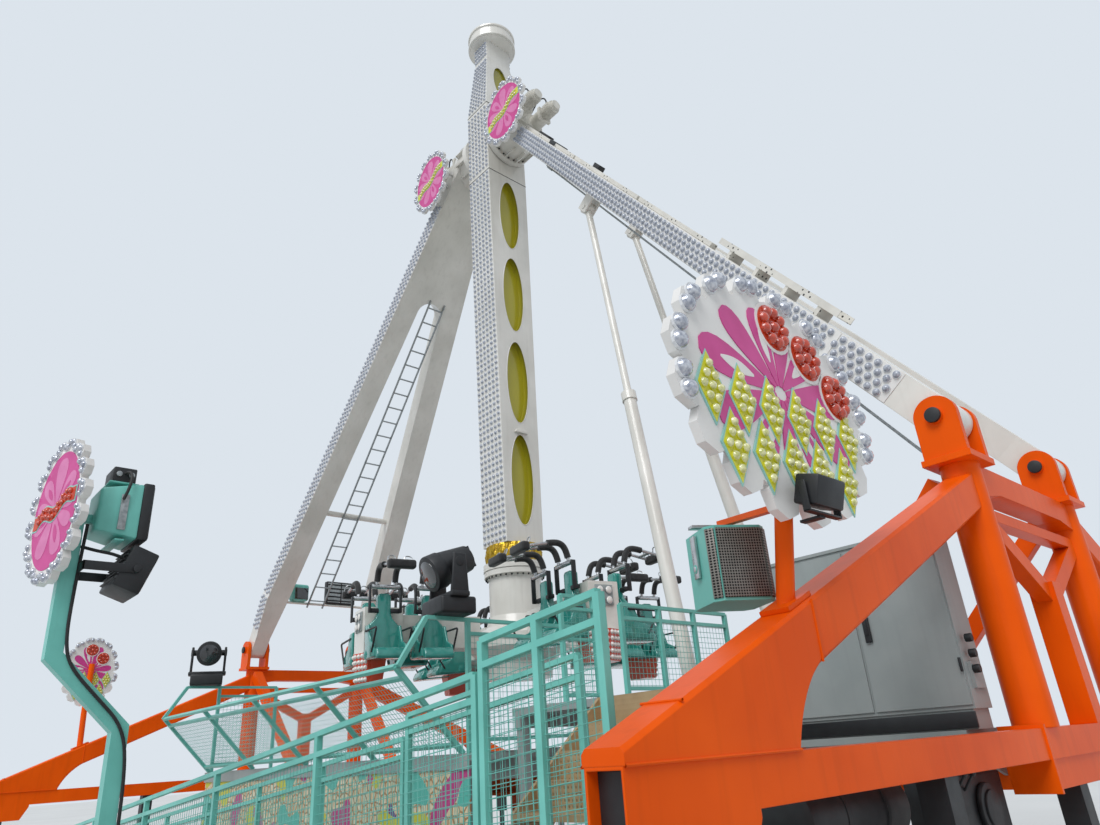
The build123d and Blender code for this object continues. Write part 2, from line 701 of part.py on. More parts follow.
def seat(r, side):
    """Moulded seat: torso-shaped back, pan with raised lip, hip wings, hinge pin and side guard."""
    plane = Plane(origin=(0, SEAT_BACK, 0), x_dir=(1, 0, 0), z_dir=(0, -1, 0))
    back = extrude(plane * outline(torso(r)), amount=-110)
    front = SEAT_BACK + SEAT_PAN
    pan = [(SEAT_BACK, PAN_Z), (front, PAN_Z - 30), (front + 10, PAN_Z + 20), (front - 40, PAN_Z + 110),
           (SEAT_BACK + 200, PAN_Z + 60), (SEAT_BACK, PAN_Z + 110)]
    body = back + side_plate(r, pan, SEAT_W - 25)
    wing = [(SEAT_BACK, PAN_Z), (front - 60, PAN_Z), (front - 90, PAN_Z + 150), (SEAT_BACK + 230, PAN_Z + 210),
            (SEAT_BACK + 140, PAN_Z + 420), (SEAT_BACK, PAN_Z + 430)]
    for s in (-1, 1):
        body += side_plate(r + s * (SEAT_W - 20), wing, 18)
    inner = SPOKE_W if r > SPOKE_END - HOUSING_LEN else SPOKE_W - SPOKE_STEP
    body += box(r - 90, r + 90, inner, SEAT_BACK, 2980, 3260)
    body += cyl_x(r - 220, r + 220, HINGE_F, HINGE_Z, HINGE_PIN)
    for s in (-1, 1):
        x = r + s * 207
        body += box(x - 13, x + 13, HINGE_F - 40, HINGE_F + 25, HINGE_Z - 330, HINGE_Z + 25)
        x0, x1 = sorted((x, r + s * 80))
        body += box(x0, x1, SEAT_BACK + 60, HINGE_F - 15, HINGE_Z - 330, HINGE_Z - 270)
        gx = r + s * (SEAT_W + 3)
        knee = (gx, front + 40, 3130)
        body += bar((gx, SEAT_BACK + 60, 3140), knee, GUARD_R, 4)
        body += bar(knee, (gx, front - 130, PAN_Z + 60), GUARD_R, 4)
    return body if side > 0 else mirror_y(body)


def seats():
    return group(spin(seat(r, side), k) for k in range(4) for side in (-1, 1) for r in SEAT_R)


# raised restraint, as (forward, up) from its hinge
ARM_PATH = ((0.0, 0.0), (25.0, 95.0), (75.0, 175.0), (165.0, 232.0), (270.0, 232.0), (620.0, 165.0))


def restraint(r, side):
    """Over-shoulder restraint, raised: hinge sleeve, two bent tubes in foam, chest pad, cross tube."""
    def at(i, x):
        f, u = ARM_PATH[i]
        return (x, HINGE_F + f, HINGE_Z + u)
    body = cyl_x(r - 185, r + 185, HINGE_F, HINGE_Z, 32)
    for x in (r - 120, r + 120):
        for i, radius in enumerate((24, 42, 42, 42, 22)):
            a, b = Vector(*at(i, x)), Vector(*at(i + 1, x))
            grow = (b - a).normalized() * (radius * 0.45)
            body += bar(tuple(a - grow), tuple(b + grow), radius)
    pad = Pos(r, at(5, r)[1] - 10, at(5, r)[2]) * Box(370, 110, 120)
    body += chamfer(pad.edges().filter_by(Axis.X), 30)
    body += bar((r - 130, HINGE_F + 430, HINGE_Z + 185), (r + 130, HINGE_F + 430, HINGE_Z + 185), 20)
    body -= cyl_x(r - 200, r + 200, HINGE_F, HINGE_Z, HINGE_PIN + RUN)
    return body if side > 0 else mirror_y(body)


def restraint_pair(k, side):
    return group(spin(restraint(r, side), k) for r in SEAT_R)


# cabinet, platform, ramp
def cabinet():
    """Two-door control cabinet on its plinth and bracketed shelf, with rain edge and cable entry box."""
    z0 = RAIL_TOP + SHELF_T
    z1 = z0 + CABINET_H
    body = box(CABINET_X0 + 20, CABINET_X1 - 20, CABINET_Y0 + 10, CABINET_Y1 - 20, z0, z0 + PLINTH_H)
    body += box(CABINET_X0, CABINET_X1, CABINET_Y0, CABINET_Y1, z0 + PLINTH_H, z1)
    body += box(CABINET_X0 - 10, CABINET_X1 + 10, CABINET_Y0 - 12, CABINET_Y1 + 10, z1, z1 + 25)
    door = (CABINET_X1 - CABINET_X0 - 40) / 2
    for x in (CABINET_X0 + 10, CABINET_X1 - 10 - door):
        body += box(x, x + door, CABINET_Y0 - 12, CABINET_Y0, z0 + PLINTH_H + 25, z1 - 20)
    body += box(CABINET_X1, CABINET_X1 + 22, CABINET_Y0 + 60, CABINET_Y1 - 60, z0 + 250, z0 + 420)
    edge = -RAIL_Y - RAIL_W / 2
    body += box(CABINET_X0, CABINET_X1 - 90, CABINET_Y0 - 20, -RAIL_Y, RAIL_TOP + SEAT_GAP, z0)
    for x in (CABINET_X0 + 80, CABINET_X1 - 170):
        body += side_plate(x, [(edge - SEAT_GAP, RAIL_TOP - 260), (edge - SEAT_GAP, z0 - 10),
                               (CABINET_Y0, z0 - 10), (CABINET_Y0, RAIL_TOP - 20)], 12)
    return body


def deck():
    """Platform floor on the long beams, with its front edge beam."""
    z0 = DECK_TOP - DECK_T
    body = box(DECK_X0, DECK_X1, -DECK_Y, DECK_Y, z0, DECK_TOP)
    for s in (-1, 1):
        y0, y1 = sorted((s * (RAIL_Y + RAIL_W / 2), s * (RAIL_Y - RAIL_W / 2)))
        body += box(DECK_X0, DECK_X1, y0, y1, RAIL_TOP + SEAT_GAP, z0)
    return body + box(DECK_X0, DECK_X1, -DECK_Y - 30, -DECK_Y, z0 - 60, DECK_TOP)


def deck_frames():
    """Joists under the floor, from the long beams out to their legs."""
    top = DECK_TOP - DECK_T - SEAT_GAP
    edge = RAIL_Y + RAIL_W / 2 + SEAT_GAP
    out = []
    for x in (DECK_X0 + 100, (DECK_X0 + DECK_X1) / 2, DECK_X1 - 100):
        for s in (-1, 1):
            y0, y1 = sorted((s * edge, s * (DECK_Y - 20)))
            out.append(box(x - 40, x + 40, y0, y1, top - JOIST_H, top) + deck_leg(x, s * (DECK_Y - 60), top - JOIST_H))
    return group(out)


def deck_leg(x, y, top):
    """Square leg on a small foot plate."""
    leg = box(x - LEG_W / 2, x + LEG_W / 2, y - LEG_W / 2, y + LEG_W / 2, 0, top)
    return leg + box(x - LEG_W, x + LEG_W, y - LEG_W, y + LEG_W, 0, 12)


def entry_deck():
    """Higher entry platform between the stair and the gondola's ring."""
    z0 = ENTRY_TOP - DECK_T
    body = box(ENTRY_X0, ENTRY_X1, ENTRY_Y0, ENTRY_Y1, z0, ENTRY_TOP)
    for x in (ENTRY_X0 + 60, ENTRY_X1 - 60):
        body += box(x - 40, x + 40, ENTRY_Y0, ENTRY_Y1, z0 - 100, z0)
        for y in (ENTRY_Y0 + 60, ENTRY_Y1 - 60):
            body += deck_leg(x, y, z0 - 50)
        body += box(x - 30, x + 30, ENTRY_Y1 - 60, -RAIL_Y - RAIL_W / 2 - SEAT_GAP, RAIL_TOP - 40, RAIL_TOP)
    return body


def skirt():
    """Flat boards that close the platform's front below its edge beam."""
    z1 = DECK_TOP - DECK_T - 60
    return box(DECK_X0 + 20, DECK_X1, -DECK_Y - SKIRT_T, -DECK_Y, SKIRT_LOW, z1)


def ramp_z(x):
    return RAMP_Z0 + RAMP_SLOPE * (x - RAMP_X0)


def ramp():
    """Sloping gangway with side beams and legs, and three treads up to the platform."""
    plane = Plane(origin=(0, RAMP_Y0, 0), x_dir=(1, 0, 0), z_dir=(0, -1, 0))
    width = RAMP_Y0 - RAMP_Y1

    def strip(top, low, z_shift=0.0):
        return outline([(RAMP_X0, ramp_z(RAMP_X0) - low + z_shift), (RAMP_X1, ramp_z(RAMP_X1) - low + z_shift),
                        (RAMP_X1, ramp_z(RAMP_X1) - top + z_shift), (RAMP_X0, ramp_z(RAMP_X0) - top + z_shift)])
    body = extrude(plane * strip(0, RAMP_T), amount=width)
    for y in (RAMP_Y0, RAMP_Y1 - 50):
        side = Plane(origin=(0, y, 0), x_dir=(1, 0, 0), z_dir=(0, -1, 0))
        body += extrude(side * strip(-30, RAMP_T), amount=-50)
    for x in (300, 2400, STEP_X0 + 100, RAMP_X1 - 100):
        for y in (RAMP_Y0 + 40, RAMP_Y1 - 40):
            body += deck_leg(x, y, ramp_z(x) - 10)
    z = ramp_z(RAMP_X1)
    return body + box(STEP_X0, RAMP_X1, RAMP_Y1 - 5, RAMP_Y1 + LANDING_W, ramp_z(STEP_X0) - 40, z - 40)


def stair():
    """Closed steps between two stringers, from the landing up to the entry platform."""
    low = ramp_z(RAMP_X1) - 40
    rise = (ENTRY_TOP - low) / (STEP_N + 1)
    y_low = RAMP_Y1 + LANDING_W
    body = None
    for x in (STEP_X0, ENTRY_X1 - 30):
        pts = [(ENTRY_Y0, ENTRY_TOP), (ENTRY_Y0, ENTRY_TOP - 260), (y_low + 150, low - 120), (y_low, low - 120),
               (y_low, low + 180)]
        s = side_plate(x + 15, pts, 15)
        body = s if body is None else body + s
    for i in range(STEP_N):
        z = ENTRY_TOP - rise * (i + 1)
        y = ENTRY_Y0 - STEP_RUN * i
        body += box(STEP_X0 + 10, ENTRY_X1 - 10, y - STEP_RUN, y, z - TREAD_T, z)
        body += box(STEP_X0 + 10, ENTRY_X1 - 10, y - 12, y, z - TREAD_T, z + rise - 2)
    return body


def panel(a, b, up, bays, rails=(0.0, RAIL_GAP), low=100.0):
    """Welded fence panel from a to b: posts, top rails and a bottom rail; up leads to its top."""
    a, b, up = Vector(*a), Vector(*b), Vector(*up)
    across = (b - a).cross(up).normalized()
    body = None
    for i in range(bays + 1):
        p = a + (b - a) * (i / bays)
        post = beam(tuple(p), tuple(p + up), FENCE_BAR, FENCE_BAR, up=tuple(across))
        body = post if body is None else body + post
    step = up.normalized()
    for d in rails:
        lift = step * (up.length - d)
        body += beam(tuple(a + lift), tuple(b + lift), FENCE_BAR, FENCE_BAR * 0.8, up=tuple(step))
    foot = step * low
    return body + beam(tuple(a + foot), tuple(b + foot), FENCE_BAR * 0.8, FENCE_BAR * 0.8, up=tuple(step))


def balustrade():
    """Outward-leaning front rail of the platform."""
    a, b = (DECK_X0 + 100, -DECK_Y, DECK_TOP), (DECK_X1 - 100, -DECK_Y, DECK_TOP)
    body = panel(a, b, (0, -LEAN_Y, LEAN_H), 4)
    return body - box(DECK_X0, DECK_X1, -DECK_Y - 100, -DECK_Y + 100, 0, DECK_TOP)


def side_fence(x, y_end, bays):
    """Side fence of the gondola's ring; its top rail reaches out to a corner over the leaning rail."""
    top = DECK_TOP + FENCE_H
    corner = (x, -DECK_Y - CORNER_Y, top)
    body = panel((x, -DECK_Y + 40, DECK_TOP), (x, y_end, DECK_TOP), (0, 0, FENCE_H), bays)
    body += beam((x, -DECK_Y + 40, top), corner, FENCE_BAR, FENCE_BAR * 0.8, up=(0, 0, 1))
    return body + beam(corner, (x, -DECK_Y - LEAN_Y, DECK_TOP + LEAN_H), FENCE_BAR, FENCE_BAR)


def fence_front():
    """Both side fences beside the leaning rail; the left one is a single bay long."""
    return group([side_fence(DECK_X1 - 60, -1500, 2), side_fence(DECK_X0 + 40, -2330, 1)])


def fence_right():
    """Fence beside the entry wing, with a narrow gate frame in front of it."""
    x, y0, y1 = 4060, -2130, -580
    fence = panel((x, y0, ENTRY_TOP), (x, y1, ENTRY_TOP), (0, 0, ENTRY_FENCE_H), 3)
    x, y0, y1 = ENTRY_X0 + 100, -2300, -1870
    gate = panel((x, y0, ENTRY_TOP), (x, y1, ENTRY_TOP), (0, 0, ENTRY_FENCE_H + 180), 1)
    return group([fence, gate])


def ramp_rails():
    """Both handrails of the ramp, each stepping up once where the ramp's second section starts."""
    out = []
    gangway = ramp()
    for y, x0, x1, x2 in ((RAMP_Y1 - 25, RAMP_X0 + 100, 3650, 5500),
                          (RAMP_Y0 + 25, RAMP_X0 + 100, 5700, RAMP_X1 - 60)):
        z0, z1, z2 = (ramp_z(x) + 30 for x in (x0, x1, x2))
        first = panel((x0, y, z0), (x1 - 60, y, z1 - 60 * RAMP_SLOPE), (0, 0, 950), 5)
        second = panel((x1, y, z1), (x2, y, z2), (0, 0, 1100), 2)
        out += [first - gangway, second - gangway]
    return group(out)


# light post, sign boards, speaker, lamps
POST_PATH = ((-5840.0, 0.0), (-5860.0, 1900.0), (-6310.0, 2340.0), (-6330.0, 3300.0))


def light_tower():
    """Cranked box-tube post on a foot plate, tied to the ramp's side beam."""
    body = box(POST_X - 200, POST_X + 200, POST_PATH[0][0] - 200, POST_PATH[0][0] + 200, 0, 20)
    for (y0, z0), (y1, z1) in zip(POST_PATH, POST_PATH[1:]):
        a, b = Vector(POST_X, y0, z0), Vector(POST_X, y1, z1)
        grow = (b - a).normalized() * 20 if z0 > 0 else Vector(0, 0, 0)
        body += beam(tuple(a - grow), tuple(b + (b - a).normalized() * 20), POST_W2, POST_W2, up=(1, 0, 0))
    z = ramp_z(POST_X) - 10
    body += box(POST_X - 25, POST_X + 25, POST_PATH[0][0], RAMP_Y0 - SEAT_GAP, z - 25, z + 25)
    return body


def scalloped(half_w, half_h, lobes, lobe_r):
    """Oval face with a scalloped rim."""
    face = Ellipse(half_w, half_h)
    for i in range(lobes):
        a = 2 * math.pi * (i + 0.5) / lobes
        face += Pos(half_w * math.cos(a), half_h * math.sin(a)) * RegularPolygon(lobe_r, 8)
    return face


def sign_board(x, z, half, lobe):
    """Big scalloped sign board that faces along X."""
    plane = Plane(origin=(x, SIGN_Y, z), x_dir=(0, 1, 0), z_dir=(1, 0, 0))
    return extrude(plane * scalloped(*half, 16, lobe), amount=SIGN_T / 2, both=True)


def badge(s):
    """Small scalloped board at the head of a support, with its two stays."""
    x = s * BADGE_X
    plane = Plane(origin=(x, BADGE_Y, BADGE_Z), x_dir=(1, 0, 0), z_dir=(0, -1, 0))
    body = extrude(plane * scalloped(480, 580, 14, 100), amount=SIGN_T / 2, both=True)
    for dz in (-1, 1):
        u = at_height(BADGE_Z + 100 * dz)
        p = on_support(u, -leg_outer(u + STAY_W * (LEAN_X + LEAN_Z)) - SEAT_GAP)
        body += box(s * p[0] - STAY_W, s * p[0] + STAY_W, BADGE_Y, p[1], p[2] - STAY_W, p[2] + STAY_W)
    return body


def light_badge():
    """Board on the front of the light post's top, turned a little towards the ram side."""
    half_w, half_h, lobe = 290.0, 440.0, 75.0
    a = math.radians(POST_BADGE_TURN)
    y = POST_PATH[3][0] - POST_W2 / 2 - SIGN_T
    plane = Plane(origin=(POST_X, y, 3290), x_dir=(math.cos(a), math.sin(a), 0),
                  z_dir=(math.sin(a), -math.cos(a), 0))
    body = extrude(plane * scalloped(half_w, half_h, 16, lobe), amount=SIGN_T / 2, both=True)
    return body + box(POST_X - 40, POST_X + 40, y, POST_PATH[3][0] - POST_W2 / 2 - SEAT_GAP, 3080, 3260)


def sign_post(s):
    """Bent tube that stands on the sloped beam and carries a sign board."""
    y = SIGN_Y
    z = brace_top(-y)
    x0 = s * BASE_X
    x1 = s * (SIGN_X - SIGN_T / 2 - 45 - SEAT_GAP)
    body = rod((x0, y, z + 5), (x1, y, SIGN_Z - 500), 45)
    body += rod((x1, y, SIGN_Z - 520), (x1, y, SIGN_Z + 300), 45)
    rise = 110 * BRACE_SLOPE
    body += beam((x0, y - 110, z - rise + 14), (x0, y + 110, z + rise + 14), 160, 24)
    front = mirror_y(brace())
    return body - (front if s > 0 else mirror_x(front))


def speaker():
    """Loudspeaker box with bevelled edges in a steel yoke, turned out on an arm of the sign post."""
    x, y, z = SPEAKER
    h = SPEAKER_W / 2
    top = h + 50
    body = chamfer(Box(SPEAKER_W, SPEAKER_W, SPEAKER_W * 1.15).edges().filter_by(Axis.Z), 40)
    for s in (-1, 1):
        body += Pos(0, s * (h + 12), 60) * Box(50, 12, top)
        body += cyl_y(0, min(s * h, s * (h + 24)), max(s * h, s * (h + 24)), 0, 22)
    body += box(-25, 25, -h - 18, h + 18, top, top + 12)
    body = Pos(x, y, z) * Rot(0, 0, SPEAKER_TURN) * body
    arm = box(x - 20, SIGN_X - 100, y - 20, y + 20, z + top + 12 - 1, z + top + 42)
    return body + (arm - sign_post(1))


# taut stays, cable tray and stage lights
def stay(y_top, y_low):
    """Taut steel stay from the underside of the right support to its tower, with end sockets."""
    a = Vector(*on_support(STAY_TOP_U, y_top, -LEG_T / 2 - STAY_PAD))
    b = Vector(BASE_X - TIE_W / 2 - STAY_END_R, y_low, STAY_LOW_Z)
    d = (b - a).normalized()
    body = rod(tuple(a), tuple(b), STAY_R)
    body += rod(tuple(a - d * 30), tuple(a + d * 160), STAY_END_R)
    return body + rod(tuple(b - d * 160), tuple(b), STAY_END_R)


def stays():
    lugs = []
    for y_top, y_low in ((-40.0, -690.0), (-140.0, -790.0)):
        body = stay(y_top, y_low)
        pad = support_plane() * (Pos(STAY_TOP_U, y_top, -LEG_T / 2 - SEAT_GAP - STAY_PAD / 2) * Box(90, 60, STAY_PAD))
        x1 = BASE_X - TIE_W / 2 - SEAT_GAP
        lug = box(x1 - 45, x1, y_low - 25, y_low + 25, STAY_LOW_Z - 40, STAY_LOW_Z + 40)
        lugs.append(body + pad + lug)
    return group(lugs)


def tray():
    """Open cable tray on four feet along the top of the right support's front leg."""
    u0, u1 = TRAY_U
    n = LEG_T / 2 + TRAY_RISE
    a, b = on_support(u0, -leg_outer(u0) + 200, n), on_support(u1, -leg_outer(u1) + 200, n)
    plane, length = along(a, b)
    plane = Plane(origin=plane.origin, x_dir=support_plane().z_dir, z_dir=plane.z_dir)
    w, h, t = TRAY_W / 2, TRAY_H, TRAY_T
    section = [(0, -w), (h, -w), (h, -w + t), (t, -w + t), (t, w - t), (h, w - t), (h, w), (0, w)]
    body = extrude(plane * outline(section), amount=length)
    for i in range(4):
        rise = TRAY_RISE - SEAT_GAP
        body += plane * (Pos(-rise / 2 + 1, 0, length * (i + 0.5) / 4) * Box(rise + 2, 200, 50))
    return body


def moving_head(x, aim, tilt):
    """Stage light on a side fence's top rail: base, yoke arms and a tapered head."""
    w, d, h = LIGHT_BASE
    body = chamfer((Pos(0, 0, h / 2) * Box(w, d, h)).edges().filter_by(Axis.Z), 25)
    body += Pos(0, 0, h + 15) * Box(2 * LIGHT_YOKE + 60, 180, 50)
    for s in (-1, 1):
        arm = [(-90, h), (90, h), (60, LIGHT_PIVOT + 75), (-60, LIGHT_PIVOT + 75)]
        body += side_plate(s * LIGHT_YOKE, arm, 30)
    half = LIGHT_LEN / 2
    prof = [(0, -half), (LIGHT_R * 0.72, -half), (LIGHT_R * 0.82, 40 - half), (LIGHT_R, half - 120),
            (LIGHT_R, half), (LIGHT_R - 36, half), (LIGHT_R - 44, half - 24), (0, half - 24)]
    head = revolve(Plane.XZ * outline(prof), Axis.Z) + cyl_x(-LIGHT_YOKE, LIGHT_YOKE, 0, 0, 40)
    foot = DECK_TOP + FENCE_H + FENCE_BAR * 0.4 + SEAT_GAP
    return Pos(x, LIGHT_Y, foot) * Rot(0, 0, aim) * (body + Pos(0, 0, LIGHT_PIVOT) * Rot(90 - tilt, 0, 0) * head)


def flood():
    """Floodlight behind the light post's board: tapered housing, rim and driver box."""
    back, rim = 2 * FLOOD_BACK, 2 * FLOOD_RIM
    body = loft([Rectangle(back, back).face(), Pos(0, 0, FLOOD_DEEP) * Rectangle(rim, rim).face()])
    body += Pos(0, 0, FLOOD_DEEP + 30) * Box(rim + 10, rim + 10, 70)
    body += Pos(0, FLOOD_RIM + 70, 140) * Box(230, 110, 150) + Pos(0, FLOOD_RIM, 140) * Box(60, 60, 60)
    body += Pos(0, -50, -20) * Box(60, 60, 50)
    y = POST_PATH[3][0] + POST_W2 / 2 + 47
    return Plane(origin=(POST_X, y, 3300), x_dir=(-1, 0, 0), z_dir=(0, 1, 0)) * body


def bar_light():
    """Flat stage light in a deep yoke on the back of the light post."""
    w, d, h = BAR_LIGHT
    y = POST_PATH[3][0] + POST_W2 / 2 + 9.5
    body = box(POST_X - w / 2 - 12, POST_X + w / 2 + 12, y, y + 14, BAR_LIGHT_Z - 30, BAR_LIGHT_Z + 30)
    for s in (-1, 1):
        x = POST_X + s * (w / 2 + 6)
        body += box(x - 6, x + 6, y, y + BAR_LIGHT_OUT, BAR_LIGHT_Z - 30, BAR_LIGHT_Z + 30)
    return body + Pos(POST_X, y + BAR_LIGHT_OUT, BAR_LIGHT_Z) * Rot(-20, 0, 0) * Box(w, d, h)


def low_bar_lights():
    """Floodlight and slatted light that stand on the low bar of the left support."""
    x = -on_support(at_height(LOW_BAR_Z), 0)[0]
    z = LOW_BAR_Z + LOW_BAR_R + SEAT_GAP
    wash = chamfer(box(x - 90, x + 150, -760, -430, z, z + 330).edges().filter_by(Axis.Y), 50)
    return [wash, box(x - 60, x + 60, -10, 640, z, z + 460)]


def stage_lights():
    """Moving heads on both side fences, both lights on the light post and those on the low bar."""
    heads = [moving_head(DECK_X1 - 60, -8, -25), moving_head(DECK_X0 + 40, 71, -10)]
    return group([*heads, flood(), bar_light(), *low_bar_lights()])


def main():
    h = head()
    s = support() - h
    save(s, "support_right")
    save(mirror_x(s + low_bar()), "support_left")
    save(h, "head_right")
    save(mirror_x(h), "head_left")
    m = motors()
    save(group([m, mirror_x(m)]), "drive_motors")
    save(mirror_x(ladder()), "ladder")
    b = base_beam()
    save(b, "base_beam_right")
    save(mirror_x(b), "base_beam_left")
    br = braces()
    save(br, "braces_right")
    save(mirror_x(br), "braces_left")
    t = tower()
    save(t, "tower_right")
    save(mirror_x(t), "tower_left")
    c = clevises()
    save(c, "clevises_right")
    save(mirror_x(c), "clevises_left")
    save(feet(), "feet")
    save(chassis(), "chassis")
    save(cross_members(), "cross_members")
    save(group([ram_barrel(-1), ram_barrel(1)]), "ram_barrels")
    save(group([ram_rod(-1), ram_rod(1)]), "ram_rods")
    save(arm_lower(), "arm_lower")
    save(arm_hub(), "arm_hub")
    save(arm_upper(), "arm_upper")
    save(counterweight(), "counterweight")
    save(collar(), "collar")
    save(slew_ring(), "slew_ring")
    save(spin(column()), "gondola_column")
    save(spokes(), "gondola_spokes")
    save(seats(), "seats")
    for k in range(4):
        for side, tag in ((-1, "a"), (1, "b")):
            save(restraint_pair(k, side), "restraints_%d%s" % (k + 1, tag))
    save(cabinet(), "cabinet")
    save(group([deck(), entry_deck()]), "deck")
    save(deck_frames(), "deck_frames")
    save(skirt(), "skirt")
    save(ramp(), "ramp")
    save(stair(), "stair")
    save(balustrade(), "balustrade")
    save(fence_front(), "fence_front")
    save(fence_right(), "fence_right")
    save(ramp_rails(), "ramp_rails")
    save(light_tower(), "light_tower")
    signs = [sign_board(SIGN_X, SIGN_Z, SIGN_HALF, SIGN_LOBE),
             sign_board(-SIGN_X, LEFT_SIGN_Z, LEFT_SIGN_HALF, LEFT_SIGN_LOBE)]
    save(group([*signs, badge(1), badge(-1), light_badge()]), "sign_boards")
    save(group([sign_post(1), sign_post(-1)]), "sign_posts")
    save(speaker(), "speaker")
    save(stays(), "stay_wires")
    save(tray(), "cable_tray")
    save(stage_lights(), "stage_lights")


main()
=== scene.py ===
import logging
from dataclasses import dataclass, field
from enum import Enum
from math import atan2, cos, hypot, pi, radians, sin, sqrt, tan
from typing import Callable, Iterable, Sequence

import bmesh
import bpy
from mathutils import Matrix, Vector


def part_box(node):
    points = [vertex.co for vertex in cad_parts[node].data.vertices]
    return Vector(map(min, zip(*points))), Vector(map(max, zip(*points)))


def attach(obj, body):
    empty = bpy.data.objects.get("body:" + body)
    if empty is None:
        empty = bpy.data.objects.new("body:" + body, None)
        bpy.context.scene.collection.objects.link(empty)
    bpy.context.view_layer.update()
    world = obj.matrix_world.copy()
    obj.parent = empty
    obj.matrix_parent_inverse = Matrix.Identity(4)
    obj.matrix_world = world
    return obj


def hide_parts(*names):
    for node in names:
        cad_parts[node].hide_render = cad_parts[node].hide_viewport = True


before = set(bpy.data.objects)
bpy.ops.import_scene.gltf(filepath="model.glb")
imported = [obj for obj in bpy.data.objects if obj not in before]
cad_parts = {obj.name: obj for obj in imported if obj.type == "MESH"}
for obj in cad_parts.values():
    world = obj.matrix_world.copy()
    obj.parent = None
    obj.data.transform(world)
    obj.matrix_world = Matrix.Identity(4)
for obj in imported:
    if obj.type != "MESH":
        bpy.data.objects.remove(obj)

Object = bpy.types.Object
Socket = bpy.types.NodeSocket
Tree = bpy.types.NodeTree

LOG = logging.getLogger("ride")
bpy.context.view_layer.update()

# sizes shared with the CAD, in metres
HUB_Z = 12.200
BASE_X = 6.850
PIN_Y = 1.120
PIN_Z = 3.800
HEAD_X = 0.680
LEG_T = 0.300
LEG_W0 = 0.420
LEG_SLOPE = 0.0945
LEAN = hypot(BASE_X - HEAD_X, HUB_Z - PIN_Z)
LEAN_X = (BASE_X - HEAD_X) / LEAN
LEAN_Z = (HUB_Z - PIN_Z) / LEAN
GROUND_TOP = 1.530
BRACE_HALF = 0.105
BASE_END_Y = 5.290
BRACE_RISE = 0.060
BRACE_SLOPE = 0.427
ARM_TIP_Z = 4.460
SEAM_LOW = 11.390
SEAM_HIGH = 13.010
ARM_NECK_Z = 14.400
ARM_TOP_Z = 14.860
TURN = radians(-12.0)
DECK_TOP = 1.620
ENTRY_TOP = 1.950
RAMP_X0 = -2.900
RAMP_Z0 = 0.070
RAMP_SLOPE = 0.107
SIGN_X = 7.020
SIGN_Y = -3.960
SIGN_Z = 3.200
POST_X = 3.000
POST_BACK = -6.280
FENCE_LEFT = -2.860
FENCE_RIGHT = 3.140
RAIL_Z = 2.736
X_AXIS, Y_AXIS, Z_AXIS = Vector((1, 0, 0)), Vector((0, 1, 0)), Vector((0, 0, 1))
SIDES = {1: "right", -1: "left"}


class Body(str, Enum):
    """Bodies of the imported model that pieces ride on."""

    FRAME = "frame"
    ARM = "arm"
    GONDOLA = "gondola"


class Slot(str, Enum):
    """Material slots of the record."""

    WHITE = "white_paint"
    ORANGE = "orange_paint"
    TEAL = "teal_paint"
    GREY = "grey_paint"
    BOARD = "printed_board"
    DARK = "dark_steel"
    GOLD = "gold_foil"
    SEAT = "seat_plastic"
    FOAM = "black_foam"


def linear(hex_colour: str) -> tuple[float, float, float, float]:
    """Turn an sRGB hex colour to the linear values that a shader takes.

    Args:
        hex_colour: colour as "#rrggbb".

    Returns:
        Red, green, blue and alpha.
    """
    out = []
    for i in (1, 3, 5):
        c = int(hex_colour[i:i + 2], 16) / 255
        out.append(c / 12.92 if c <= 0.04045 else ((c + 0.055) / 1.055) ** 2.4)
    return out[0], out[1], out[2], 1.0


def add_node(tree: Tree, kind: str, inputs: dict | None = None, **settings) -> bpy.types.Node:
    """Add a node with its settings, values and links.

    Args:
        tree: the material's node tree.
        kind: the node's type name.
        inputs: socket name or index to a value, or to the output socket that feeds it.
        **settings: the node's own attributes.

    Returns:
        The new node.
    """
    node = tree.nodes.new(kind)
    for name, value in settings.items():
        setattr(node, name, value)
    for key, value in (inputs or {}).items():
        if isinstance(value, Socket):
            tree.links.new(value, node.inputs[key])
        else:
            node.inputs[key].default_value = value
    return node


